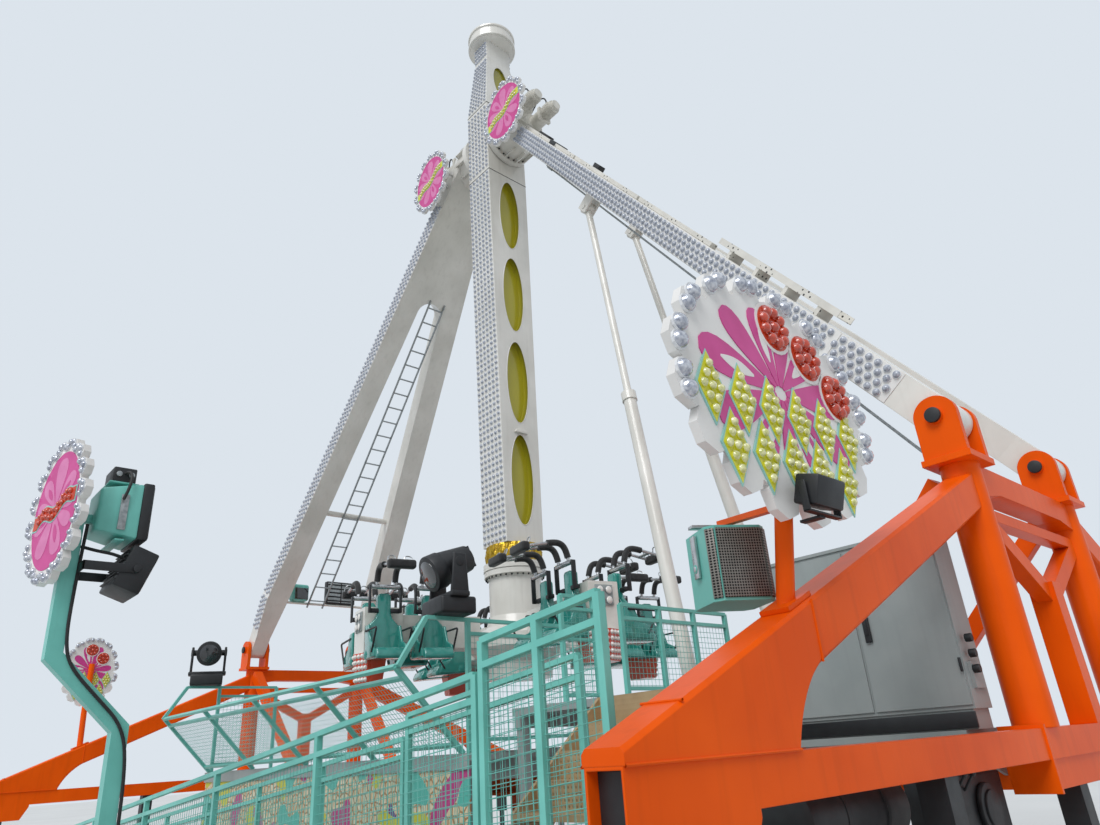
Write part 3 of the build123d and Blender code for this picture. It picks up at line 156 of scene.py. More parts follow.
@dataclass(frozen=True)
class Finish:
    """A surface: two near colours in patches, dirt in streaks, grain as bump and softened edges.

    Lengths are in millimetres.
    """

    name: str
    colour: str
    shade: str
    roughness: float = 0.4
    metallic: float = 0.0
    ior: float = 1.5
    coat: float = 0.0
    patch: float = 400.0
    grain: float = 3.0
    relief: float = 0.1
    streak: float = 0.0
    dirt: str = "#6B6459"
    edge: float = 0.0
    sheen: float = 0.0

    def tint(self, tree: Tree, point: Socket, colour: Socket) -> Socket:
        """Hook for a pattern painted over the base colour."""
        return colour

    def height(self, tree: Tree, point: Socket) -> Socket:
        """Height field of the bump: fine noise unless a finish has a shape of its own."""
        return add_node(tree, "ShaderNodeTexNoise", {"Vector": point, "Scale": 1000 / self.grain,
                                                     "Detail": 3.0}).outputs["Fac"]

    def material(self) -> bpy.types.Material:
        """Build the material, or take it where it was built before.

        Returns:
            The material.
        """
        made = bpy.data.materials.get(self.name)
        if made:
            return made
        mat = bpy.data.materials.new(self.name)
        mat.use_nodes = True
        tree = mat.node_tree
        shader = tree.nodes["Principled BSDF"]
        point = add_node(tree, "ShaderNodeTexCoord").outputs["Object"]
        patches = add_node(tree, "ShaderNodeTexNoise", {"Vector": point, "Scale": 1000 / self.patch,
                                                        "Detail": 4.0})
        blend = add_node(tree, "ShaderNodeMapRange", {"Value": patches.outputs["Fac"], "From Min": 0.35,
                                                      "From Max": 0.65})
        colour = add_node(tree, "ShaderNodeMix", {"Factor": blend.outputs[0], 6: linear(self.colour),
                                                  7: linear(self.shade)}, data_type="RGBA").outputs[2]
        colour = self.tint(tree, point, colour)
        if self.streak:
            stretched = add_node(tree, "ShaderNodeMapping", {"Vector": point, "Scale": (14.0, 14.0, 1.1)})
            runs = add_node(tree, "ShaderNodeTexNoise", {"Vector": stretched.outputs[0], "Scale": 1.0,
                                                         "Detail": 5.0})
            mask = add_node(tree, "ShaderNodeMapRange", {"Value": runs.outputs["Fac"], "From Min": 0.52,
                                                         "From Max": 0.80, "To Max": self.streak})
            colour = add_node(tree, "ShaderNodeMix", {"Factor": mask.outputs[0], 6: colour,
                                                      7: linear(self.dirt)}, data_type="RGBA").outputs[2]
        tree.links.new(colour, shader.inputs["Base Color"])
        uneven = add_node(tree, "ShaderNodeMapRange", {"Value": patches.outputs["Fac"], "To Min":
                                                       self.roughness * 0.85, "To Max": self.roughness * 1.2})
        tree.links.new(uneven.outputs[0], shader.inputs["Roughness"])
        bump_inputs: dict = {"Height": self.height(tree, point), "Distance": self.relief / 1000,
                             "Strength": 1.0}
        if self.edge:
            bump_inputs["Normal"] = add_node(tree, "ShaderNodeBevel", {"Radius": self.edge / 1000},
                                             samples=4).outputs[0]
        bump = add_node(tree, "ShaderNodeBump", bump_inputs)
        tree.links.new(bump.outputs[0], shader.inputs["Normal"])
        shader.inputs["Metallic"].default_value = self.metallic
        shader.inputs["IOR"].default_value = self.ior
        shader.inputs["Coat Weight"].default_value = self.coat
        shader.inputs["Coat Roughness"].default_value = 0.08
        shader.inputs["Sheen Weight"].default_value = self.sheen
        return mat


@dataclass(frozen=True)
class OvalPaint(Finish):
    """Arm paint: gloss white, and olive yellow with painted shade inside the oval openings of the wide plates."""

    inside: str = "#B0A81A"
    painted_shade_olive: str = "#6E6A10"
    x_low: float = 0.290
    x_high: float = 0.300
    z_low: float = 4.460
    z_high: float = 11.390
    half_y: float = 0.245
    lip: float = 0.006

    def tint(self, tree: Tree, point: Socket, colour: Socket) -> Socket:
        """Paint olive, with painted shade near the lip, on what lies behind the plate's surface and near the middle
        line.

        Args:
            tree: the material's node tree.
            point: the place on the piece.
            colour: the base colour.

        Returns:
            The colour with the pattern on it.
        """
        axes = add_node(tree, "ShaderNodeSeparateXYZ", {0: point})
        plate = add_node(tree, "ShaderNodeMapRange", {"Value": axes.outputs[2], "From Min": self.z_low,
                                                      "From Max": self.z_high,
                                                      "To Min": self.x_low - self.lip,
                                                      "To Max": self.x_high - self.lip})
        x = add_node(tree, "ShaderNodeMath", {0: axes.outputs[0]}, operation="ABSOLUTE")
        y = add_node(tree, "ShaderNodeMath", {0: axes.outputs[1]}, operation="ABSOLUTE")
        behind = add_node(tree, "ShaderNodeMath", {0: x.outputs[0], 1: plate.outputs[0]},
                          operation="LESS_THAN")
        near = add_node(tree, "ShaderNodeMath", {0: y.outputs[0], 1: self.half_y}, operation="LESS_THAN")
        both = add_node(tree, "ShaderNodeMath", {0: behind.outputs[0], 1: near.outputs[0]},
                        operation="MULTIPLY")
        # painted shade: the olive runs from a dark tone at the lip to the full olive 100 mm in, standing in for the
        # shaded walls of the openings
        depth = add_node(tree, "ShaderNodeMath", {0: plate.outputs[0], 1: x.outputs[0]},
                         operation="SUBTRACT")
        shade = add_node(tree, "ShaderNodeMapRange", {"Value": depth.outputs[0], "From Max": 0.10})
        olive = add_node(tree, "ShaderNodeMix", {"Factor": shade.outputs[0], 6: linear(self.painted_shade_olive),
                                                 7: linear(self.inside)}, data_type="RGBA")
        return add_node(tree, "ShaderNodeMix", {"Factor": both.outputs[0], 6: colour, 7: olive.outputs[2]},
                        data_type="RGBA").outputs[2]


@dataclass(frozen=True)
class BandPaint(Finish):
    """Paint that changes to a second colour below a height."""

    below: str = "#D2401A"
    level: float = 2.895

    def tint(self, tree: Tree, point: Socket, colour: Socket) -> Socket:
        """Paint the second colour under the level.

        Args:
            tree: the material's node tree.
            point: the place on the piece.
            colour: the base colour.

        Returns:
            The colour with the pattern on it.
        """
        z = add_node(tree, "ShaderNodeSeparateXYZ", {0: point}).outputs[2]
        under = add_node(tree, "ShaderNodeMath", {0: z, 1: self.level}, operation="LESS_THAN")
        return add_node(tree, "ShaderNodeMix", {"Factor": under.outputs[0], 6: colour, 7: linear(self.below)},
                        data_type="RGBA").outputs[2]


@dataclass(frozen=True)
class CellFinish(Finish):
    """A sheet with a regular pattern of cells, dark where it is open: punched or expanded metal."""

    pitch: float = 12.0
    hole: str = "#1D1D1C"
    open_share: float = 0.30
    squash: float = 1.0
    turn: float = 0.0

    def cells(self, tree: Tree, point: Socket) -> Socket:
        """Distance from the middle of each cell.

        Args:
            tree: the material's node tree.
            point: the place on the piece.

        Returns:
            The distance.
        """
        turned = add_node(tree, "ShaderNodeMapping", {"Vector": point, "Rotation": (0, 0, self.turn)})
        spread = add_node(tree, "ShaderNodeMapping", {"Vector": turned.outputs[0],
                                                      "Scale": (self.squash, 1.0, 1.0)})
        return add_node(tree, "ShaderNodeTexVoronoi", {"Vector": spread.outputs[0],
                                                       "Scale": 1000 / self.pitch,
                                                       "Randomness": 0.0}).outputs["Distance"]

    def tint(self, tree: Tree, point: Socket, colour: Socket) -> Socket:
        """Darken the open middle of each cell.

        Args:
            tree: the material's node tree.
            point: the place on the piece.
            colour: the base colour.

        Returns:
            The colour with the pattern on it.
        """
        gap = add_node(tree, "ShaderNodeMath", {0: self.cells(tree, point), 1: self.open_share},
                       operation="LESS_THAN")
        return add_node(tree, "ShaderNodeMix", {"Factor": gap.outputs[0], 6: colour, 7: linear(self.hole)},
                        data_type="RGBA").outputs[2]

    def height(self, tree: Tree, point: Socket) -> Socket:
        """Raise the strands between the cells."""
        return self.cells(tree, point)


@dataclass(frozen=True)
class PebblePrint(Finish):
    """Printed sheet: pebbles with dark joints, under loose patches of three more colours."""

    joint: str = "#A98158"
    patches: tuple[str, ...] = ("#6E3A86", "#C4C43C", "#55B5A8", "#B93A81")
    pebble: float = 90.0
    island: float = 520.0
    share: float = 0.60
    joint_width: float = 0.09
    shift: tuple[float, float] = (3.7, 1.9)

    def tint(self, tree: Tree, point: Socket, colour: Socket) -> Socket:
        """Draw the joints, then lay the patches over them.

        Args:
            tree: the material's node tree.
            point: the place on the piece.
            colour: the base colour.

        Returns:
            The colour with the pattern on it.
        """
        cells = add_node(tree, "ShaderNodeTexVoronoi", {"Vector": point, "Scale": 1000 / self.pebble,
                                                        "Randomness": 0.7}, feature="DISTANCE_TO_EDGE")
        line = add_node(tree, "ShaderNodeMath", {0: cells.outputs["Distance"], 1: self.joint_width},
                        operation="LESS_THAN")
        colour = add_node(tree, "ShaderNodeMix", {"Factor": line.outputs[0], 6: colour,
                                                  7: linear(self.joint)}, data_type="RGBA").outputs[2]
        for i, tone in enumerate(self.patches):
            moved = add_node(tree, "ShaderNodeMapping", {
                "Vector": point, "Location": (self.shift[0] * i, 0, self.shift[1] * i)})
            islands = add_node(tree, "ShaderNodeTexNoise", {"Vector": moved.outputs[0],
                                                            "Scale": 1000 / self.island, "Detail": 1.0})
            mask = add_node(tree, "ShaderNodeMath", {0: islands.outputs["Fac"], 1: self.share},
                            operation="GREATER_THAN")
            colour = add_node(tree, "ShaderNodeMix", {"Factor": mask.outputs[0], 6: colour, 7: linear(tone)},
                              data_type="RGBA").outputs[2]
        return colour


# gloss enamel sprayed over steel: smooth, with a wet highlight and faint rain marks. Its real orange peel is
# 1 to 2 mm, too fine to show from here, so its grain is drawn 9 mm wide. The orange has a low IOR, because a
# usual one lays so much pale sky over it that it turns pink.
ORANGE = Finish("orange_gloss_enamel", "#F25E08", "#E25204", 0.34, ior=1.18, coat=0.04, patch=900, grain=9,
                relief=0.35, streak=0.14, dirt="#8A300A", edge=9)
WHITE = Finish("white_gloss_enamel", "#E4E2DC", "#D4D2CB", 0.30, coat=0.4, patch=700, grain=9, relief=0.3,
               streak=0.16, dirt="#8C877B", edge=8)
ARM_LOW = OvalPaint("white_enamel_with_olive_ovals", "#E2E1DC", "#D4D3CD", 0.30, coat=0.4, patch=700, grain=9,
                    relief=0.3, streak=0.12, dirt="#8C877B", edge=8)
ARM_HIGH = OvalPaint("white_enamel_upper_arm", "#E2E1DC", "#D4D3CD", 0.30, coat=0.4, patch=700, grain=9,
                     relief=0.3, streak=0.12, dirt="#8C877B", edge=8, x_low=0.300, x_high=0.195, z_low=13.010,
                     z_high=14.400, half_y=0.185, lip=0.012)
SPOKE_PAINT = BandPaint("white_enamel_over_red_orange_panel", "#E6E4DE", "#D6D4CC", 0.28, coat=0.4, patch=300,
                        grain=9, relief=0.2, streak=0.10, dirt="#8C877B", edge=6)
# satin powder coat on the loudspeaker's box, with its orange arm above
SPEAKER_PAINT = BandPaint("orange_arm_over_teal_box", "#F25E08", "#E25204", 0.36, patch=300, grain=4,
                          relief=0.15, edge=4, below="#6FBFB4", level=2.6255)
# powder coat on tube: even satin with a fine orange peel
TEAL = Finish("teal_powder_coat", "#74C6BB", "#66B6AB", 0.38, patch=300, grain=4, relief=0.15, streak=0.14,
              dirt="#3E6F68", edge=4)
GREY = Finish("grey_powder_coat", "#9BA3A3", "#8F9898", 0.42, patch=500, grain=3, relief=0.12, streak=0.14,
              dirt="#5F6462", edge=4)
MOTOR = Finish("light_grey_machine_enamel", "#D8D6CE", "#C6C4BB", 0.40, patch=120, grain=3, relief=0.2,
               streak=0.25, dirt="#7D776A", edge=4)
BLACK = Finish("black_powder_coat", "#1E2023", "#17181B", 0.48, patch=80, grain=2, relief=0.15, edge=3)
# hot-dip galvanised steel: dull, with large spangles
ZINC = Finish("galvanised_steel", "#A9ADAE", "#8C9192", 0.46, metallic=0.85, patch=25, grain=6, relief=0.1,
              streak=0.10, edge=2)
STEEL = Finish("brushed_stainless_steel", "#C9CACB", "#B4B6B8", 0.28, metallic=1.0, patch=60, grain=1.5,
               relief=0.05, edge=1)
# steel sheet drawn open, embossed or punched: dull strands round dark or shaded cells
ANTI_SLIP = CellFinish("expanded_metal_walkway", "#A79F90", "#968E80", 0.55, metallic=0.5, patch=200,
                       relief=4.0, pitch=42, hole="#3A3833", open_share=0.33, squash=0.5)
DECK_TREAD = CellFinish("embossed_grey_tread_plate", "#8D9494", "#828989", 0.50, metallic=0.4, patch=300,
                        relief=3.0, pitch=38, hole="#757B7B", open_share=0.25)
TREAD = CellFinish("embossed_tan_tread_plate", "#B49C78", "#A58D6B", 0.50, metallic=0.2, patch=200, relief=3.0,
                   pitch=38, hole="#8A7555", open_share=0.25)
# the real holes are about 6 mm apart, too fine to show, so they are drawn 14 mm apart. The pattern is turned
# with the plate and flattened along its depth, so no stripes appear where the plate cuts through the cells.
GRILLE = CellFinish("punched_speaker_grille", "#8A8781", "#7E7B75", 0.45, metallic=0.6, patch=60, relief=1.5,
                    pitch=14, hole="#1B1B1A", open_share=0.36, squash=0.0, turn=radians(30))
PUNCHED = CellFinish("punched_white_channel", "#DCDAD3", "#CFCDC6", 0.40, patch=200, relief=1.5, pitch=60,
                     hole="#2A2B2C", open_share=0.20)
# crinkled metallised film: bright folds, yellow gold
GOLD = Finish("crinkled_gold_film", "#C7A531", "#A07D1D", 0.30, metallic=0.75, patch=70, grain=45, relief=14,
              edge=6)
# moulded glass-fibre shell with a gel coat: deep gloss, no grain
SHELL = Finish("teal_gelcoat_shell", "#2F8F84", "#28837A", 0.14, coat=0.7, patch=120, grain=12, relief=0.2,
               edge=6)
# skinned polyurethane foam: soft, dull, finely pored
FOAM = Finish("black_skinned_foam", "#1D1D1F", "#141416", 0.72, patch=60, grain=2.2, relief=0.5, sheen=0.25)
RUBBER = Finish("black_rubber", "#161617", "#101011", 0.60, patch=50, grain=2, relief=0.2, sheen=0.1)
# screen-printed aluminium sheet: flat colour under a satin lacquer
BOARD = Finish("white_printed_sheet", "#E9E8E6", "#DEDDDB", 0.35, patch=400, grain=6, relief=0.05, edge=2)
PINK = Finish("pink_printed_film", "#DE7FB4", "#D470A8", 0.35, patch=150, grain=6, relief=0.05)
SCARLET = Finish("red_orange_printed_film", "#D2401A", "#C23814", 0.35, patch=150, grain=6, relief=0.05)
MAGENTA = Finish("magenta_printed_film", "#D03F92", "#C53787", 0.35, patch=150, grain=6, relief=0.05)
LIME = Finish("lime_printed_film", "#DAD83C", "#CECC34", 0.35, patch=150, grain=6, relief=0.05)
RIM_TEAL = Finish("pale_teal_edge_film", "#9CCFC8", "#8FC5BD", 0.35, patch=150, grain=6, relief=0.05)
SKIRT = PebblePrint("printed_skirt_sheet", "#E3D8BE", "#CDB48C", 0.38, patch=60, grain=6, relief=0.05)
# moulded polycarbonate lamp caps: clear gloss over a facetted reflector
CAP_GREY = Finish("clear_lamp_cap", "#BFC4CF", "#868D9C", 0.14, ior=1.58, coat=0.6, patch=18, grain=9,
                  relief=1.6)
CAP_SILVER = Finish("silvered_lamp_cap", "#D2D5DC", "#8C91A0", 0.14, metallic=0.45, ior=1.58, coat=0.8,
                    patch=22, grain=9, relief=1.8)
CAP_RED = Finish("red_orange_lamp_cap", "#D8451B", "#A92C0E", 0.14, ior=1.58, coat=0.8, patch=22, grain=9,
                 relief=1.6)
# lime caps: the pale tone carries painted glints and the darker green is painted shade of the domes, the two mixed in
# patches
CAP_LIME = Finish("lime_lamp_cap", "#F0EEBC", "#B8BC66", 0.14, ior=1.58, coat=0.8, patch=22, grain=9,
                  relief=1.6)
CAP_WHITE = Finish("opal_lamp_cap", "#F2EFEA", "#DCD8D2", 0.16, ior=1.58, coat=0.8, patch=22, grain=9,
                   relief=0.8)
LAMP_BASE = Finish("white_lamp_base", "#E8EAEC", "#D8DBE0", 0.35, patch=30, grain=4, relief=0.1)
# pressed glass in front of a dark reflector: near black, with sharp highlights
GLASS = Finish("dark_lens_glass", "#2A2D33", "#16181C", 0.06, ior=1.52, coat=1.0, patch=60, grain=8,
               relief=0.2)
# thin painted sheet, weathered to a dull green
OLIVE = Finish("olive_sheet_metal", "#8A8420", "#7A741A", 0.45, patch=90, grain=4, relief=0.2)


class Bench:
    """Modelling operators, with the selection kept in hand."""

    @staticmethod
    def clear() -> None:
        """Leave edit mode and deselect everything."""
        active = bpy.context.view_layer.objects.active
        if active and active.mode != "OBJECT":
            bpy.ops.object.mode_set(mode="OBJECT")
        bpy.ops.object.select_all(action="DESELECT")

    @staticmethod
    def only(*obs: Object) -> None:
        """Select these objects and make the first one active."""
        Bench.clear()
        for ob in obs:
            ob.select_set(True)
        bpy.context.view_layer.objects.active = obs[0]

    @staticmethod
    def settle(ob: Object) -> Object:
        """Put the object's place, turn and scale into its mesh.

        Args:
            ob: the object.

        Returns:
            The same object.
        """
        Bench.only(ob)
        bpy.ops.object.transform_apply(location=True, rotation=True, scale=True)
        return ob

    @staticmethod
    def put(ob: Object, at: Matrix) -> Object:
        """Set an object to a place and put the place into its mesh."""
        ob.matrix_world = at
        return Bench.settle(ob)

    @staticmethod
    def modify(ob: Object, kind: str, **settings) -> Object:
        """Add a modifier with its settings and apply it.

        Args:
            ob: the object.
            kind: the modifier's type.
            **settings: its own attributes.

        Returns:
            The same object.
        """
        Bench.only(ob)
        mod = ob.modifiers.new("work", kind)
        for name, value in settings.items():
            setattr(mod, name, value)
        bpy.ops.object.modifier_apply(modifier=mod.name)
        return ob

    @staticmethod
    def rounded(ob: Object, width: float, segments: int = 2) -> Object:
        """Bevel the sharp edges and shade the result smooth between them.

        Args:
            ob: the object.
            width: width of the bevel.
            segments: its steps.

        Returns:
            The same object.
        """
        Bench.modify(ob, "BEVEL", width=width, segments=segments, limit_method="ANGLE", angle_limit=0.6)
        bpy.ops.object.shade_smooth_by_angle(angle=0.7)
        return ob

    @staticmethod
    def block(size: Sequence[float], at: Sequence[float], turn: Sequence[float] = (0, 0, 0),
              edge: float = 0.0, segments: int = 2) -> Object:
        """Box of a size at a place, turned and with rounded edges.

        Args:
            size: full lengths along X, Y and Z.
            at: its centre.
            turn: Euler angles in radians.
            edge: width of the edge rounding.
            segments: steps of the rounding.

        Returns:
            The box as a mesh object.
        """
        Bench.clear()
        bpy.ops.mesh.primitive_cube_add(size=1)
        ob = bpy.context.object
        ob.scale = size
        Bench.settle(ob)
        if edge:
            Bench.rounded(ob, edge, segments)
        ob.location, ob.rotation_euler = at, turn
        return Bench.settle(ob)

    @staticmethod
    def drum(radius: float, low: Sequence[float], high: Sequence[float], sides: int = 24,
             edge: float = 0.0) -> Object:
        """Round bar between two points.

        Args:
            radius: its radius.
            low: centre of one end.
            high: centre of the other end.
            sides: faces round it.
            edge: width of the rim's rounding.

        Returns:
            The bar as a mesh object.
        """
        a, b = Vector(low), Vector(high)
        Bench.clear()
        bpy.ops.mesh.primitive_cylinder_add(vertices=sides, radius=radius, depth=(b - a).length)
        ob = bpy.context.object
        if edge:
            Bench.rounded(ob, edge, 2)
        else:
            Bench.only(ob)
            bpy.ops.object.shade_smooth_by_angle(angle=0.7)
        turn = (b - a).to_track_quat("Z", "Y").to_matrix().to_4x4()
        return Bench.put(ob, Matrix.Translation((a + b) / 2) @ turn)

    @staticmethod
    def bolt(radius: float, depth: float) -> Object:
        """Six-sided bolt head about the origin, with broken edges.

        Args:
            radius: distance from the middle to a corner.
            depth: height of the head.

        Returns:
            The bolt head.
        """
        Bench.clear()
        bpy.ops.mesh.primitive_cylinder_add(vertices=6, radius=radius, depth=depth)
        return Bench.rounded(bpy.context.object, 0.002, 1)

    @staticmethod
    def plate(points: Sequence[Sequence[float]], thick: float, at: Matrix, edge: float = 0.0,
              segments: int = 2) -> Object:
        """Plate with a drawn outline: a filled circle whose points are moved, then extruded.

        Args:
            points: outline as (x, y) in the plate's plane, in order.
            thick: thickness along the plane's Z.
            at: the plane's place.
            edge: width of the edge rounding.
            segments: steps of the rounding.

        Returns:
            The plate as a mesh object.
        """
        Bench.clear()
        bpy.ops.mesh.primitive_circle_add(vertices=len(points), radius=1, fill_type="NGON")
        ob = bpy.context.object
        for vertex, (x, y) in zip(ob.data.vertices, points):
            vertex.co = (x, y, 0)
        bpy.ops.object.mode_set(mode="EDIT")
        bpy.ops.mesh.select_all(action="SELECT")
        bpy.ops.mesh.extrude_region_move(TRANSFORM_OT_translate={"value": (0, 0, thick)})
        bpy.ops.mesh.select_all(action="SELECT")
        bpy.ops.mesh.normals_make_consistent(inside=False)
        bpy.ops.object.mode_set(mode="OBJECT")
        if edge:
            Bench.rounded(ob, edge, segments)
        return Bench.put(ob, at)

    @staticmethod
    def tube(points: Sequence[Sequence[float]], radius: float, sides: int = 2, smooth: bool = True,
             caps: bool = True) -> Object:
        """Bent tube along a smooth or straight-run line.

        Args:
            points: the line's control points.
            radius: the tube's radius.
            sides: bevel resolution of the round section.
            smooth: a smooth line where true, straight runs where false.
            caps: whether the ends are closed.

        Returns:
            The tube as a mesh object.
        """
        Bench.clear()
        curve = bpy.data.curves.new("line", "CURVE")
        curve.dimensions = "3D"
        spline = curve.splines.new("NURBS" if smooth else "POLY")
        spline.points.add(len(points) - 1)
        for place, p in zip(spline.points, points):
            place.co = (*p, 1.0)
        if smooth:
            spline.order_u = 3
            spline.use_endpoint_u = True
            spline.resolution_u = 6
        curve.bevel_depth, curve.bevel_resolution, curve.use_fill_caps = radius, sides, caps
        ob = bpy.data.objects.new("line", curve)
        bpy.context.scene.collection.objects.link(ob)
        Bench.only(ob)
        bpy.ops.object.convert(target="MESH")
        ob = bpy.context.object
        bpy.ops.object.shade_smooth_by_angle(angle=0.8)
        return ob

    @staticmethod
    def trim(ob: Object, test: Callable[[Vector, Vector], bool]) -> Object:
        """Delete the faces that a test on their middle and normal picks.

        Args:
            ob: the object.
            test: true for a face that goes.

        Returns:
            The same object.
        """
        Bench.only(ob)
        bpy.ops.object.mode_set(mode="EDIT")
        bpy.ops.mesh.select_mode(type="FACE")
        bpy.ops.mesh.select_all(action="DESELECT")
        mesh = bmesh.from_edit_mesh(ob.data)
        for face in mesh.faces:
            face.select = test(face.calc_center_median(), face.normal)
        bmesh.update_edit_mesh(ob.data)
        bpy.ops.mesh.delete(type="FACE")
        bpy.ops.object.mode_set(mode="OBJECT")
        return ob

    @staticmethod
    def join(obs: Iterable[Object]) -> Object:
        """Join objects into the first one.

        Args:
            obs: the objects.

        Returns:
            The first object, with the others in it.
        """
        obs = list(obs)
        Bench.only(*obs)
        if len(obs) > 1:
            bpy.ops.object.join()
        return bpy.context.view_layer.objects.active

    @staticmethod
    def copy(ob: Object, at: Matrix, inside_out: bool = False) -> Object:
        """Copy an object with its own mesh, moved by a matrix.

        Args:
            ob: the object to copy.
            at: where the copy goes.
            inside_out: true where the matrix mirrors, so the faces are turned back.

        Returns:
            The copy.
        """
        twin = ob.copy()
        twin.data = ob.data.copy()
        bpy.context.scene.collection.objects.link(twin)
        twin.data.transform(at)
        if inside_out:
            twin.data.flip_normals()
        return twin

    @staticmethod
    def repeat(ob: Object, places: Iterable[Matrix]) -> Object:
        """Copy an object to each place, join the copies and drop the first one.

        Args:
            ob: the object to copy.
            places: where the copies go.

        Returns:
            The copies as one object.
        """
        twins = [Bench.copy(ob, at) for at in places]
        bpy.data.objects.remove(ob)
        return Bench.join(twins)

    @staticmethod
    def row(ob: Object, step: Sequence[float], count: int) -> Object:
        """Repeat an object along a line with an array.

        Args:
            ob: the object.
            step: from one to the next.
            count: how many there are.

        Returns:
            The same object, repeated.
        """
        if count < 2:
            return ob
        return Bench.modify(ob, "ARRAY", count=count, use_relative_offset=False, use_constant_offset=True,
                            constant_offset_displace=step)

    @staticmethod
    def paint(ob: Object, finish: Finish) -> Object:
        """Give the whole object one finish.

        Args:
            ob: the object.
            finish: its finish.

        Returns:
            The same object.
        """
        ob.data.materials.clear()
        ob.data.materials.append(finish.material())
        return ob


def facing(at: Sequence[float], normal: Sequence[float], up: Sequence[float] = (0, 0, 1)) -> Matrix:
    """Place whose Z looks along a normal, with Y as near to up as it goes.

    Args:
        at: the place's origin.
        normal: direction of its Z.
        up: direction that its Y leans towards.

    Returns:
        The place as a matrix.
    """
    z = Vector(normal).normalized()
    x = Vector(up).cross(z)
    x = x.normalized() if x.length > 1e-6 else X_AXIS.copy()
    y = z.cross(x)
    matrix = Matrix((x, y, z)).transposed().to_4x4()
    matrix.translation = Vector(at)
    return matrix


def across(x: float) -> Matrix:
    """Place of a plate that stands across X, drawn in Y and Z."""
    return Matrix(((0, 0, 1, x), (1, 0, 0, 0), (0, 1, 0, 0), (0, 0, 0, 1)))


def deliver(ob: Object, name: str, body: str,
            finish: Finish | None = None) -> Object:
    """Name a finished piece, give it its finish, and let it ride on its body.

    Args:
        ob: the finished mesh object.
        name: the piece's name.
        body: the body it rides on.
        finish: its finish, where it isn't painted yet.

    Returns:
        The piece.
    """
    if finish:
        Bench.paint(ob, finish)
    ob.name = ob.data.name = name
    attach(ob, body)
    LOG.info("%s on %s, %d faces", name, body, len(ob.data.polygons))
    return ob


def dress(node: str, finish: Finish) -> None:
    """Put a finish into a CAD node's material slots.

    Args:
        node: the node's name.
        finish: its finish.
    """
    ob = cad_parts.get(node)
    if ob is None:
        LOG.warning("no node %s", node)
        return
    for slot in ob.material_slots:
        slot.material = finish.material()


@dataclass
class Bulb:
    """A domed lamp on a round base, pointing along +Z from the origin."""

    cap: Finish
    radius: float = 0.031
    base: Finish = LAMP_BASE
    rise: float = 0.85
    sides: int = 10

    def build(self) -> Object:
        """Model the base ring and the dome.

        Returns:
            The lamp as one object with two materials.
        """
        Bench.clear()
        bpy.ops.mesh.primitive_uv_sphere_add(segments=self.sides, ring_count=6, radius=self.radius)
        dome = bpy.context.object
        dome.scale = (1, 1, self.rise)
        dome.location = (0, 0, self.radius * 0.25)
        Bench.settle(dome)
        Bench.trim(dome, lambda c, n: c.z < self.radius * 0.25)
        Bench.only(dome)
        bpy.ops.object.shade_smooth()
        Bench.paint(dome, self.cap)
        bpy.ops.mesh.primitive_cylinder_add(vertices=self.sides, radius=self.radius * 1.13,
                                            depth=self.radius * 0.3, location=(0, 0, self.radius * 0.15))
        ring = Bench.settle(bpy.context.object)
        Bench.paint(ring, self.base)
        return Bench.join([dome, ring])

    def rows(self, lines: Sequence[tuple[Vector, Vector, int]], normal: Sequence[float]) -> Object:
        """Set lamps along straight lines.

        Args:
            lines: first point, step and count of each line.
            normal: direction the lamps point in.

        Returns:
            All the lamps as one object.
        """
        seed = self.build()
        made = []
        for start, step, count in lines:
            made.append(Bench.row(Bench.copy(seed, facing(start, normal)), step, count))
        bpy.data.objects.remove(seed)
        return Bench.join(made)

    def at(self, points: Iterable[Sequence[float]], normal: Sequence[float]) -> Object:
        """Set one lamp at each point."""
        return Bench.repeat(self.build(), [facing(p, normal) for p in points])


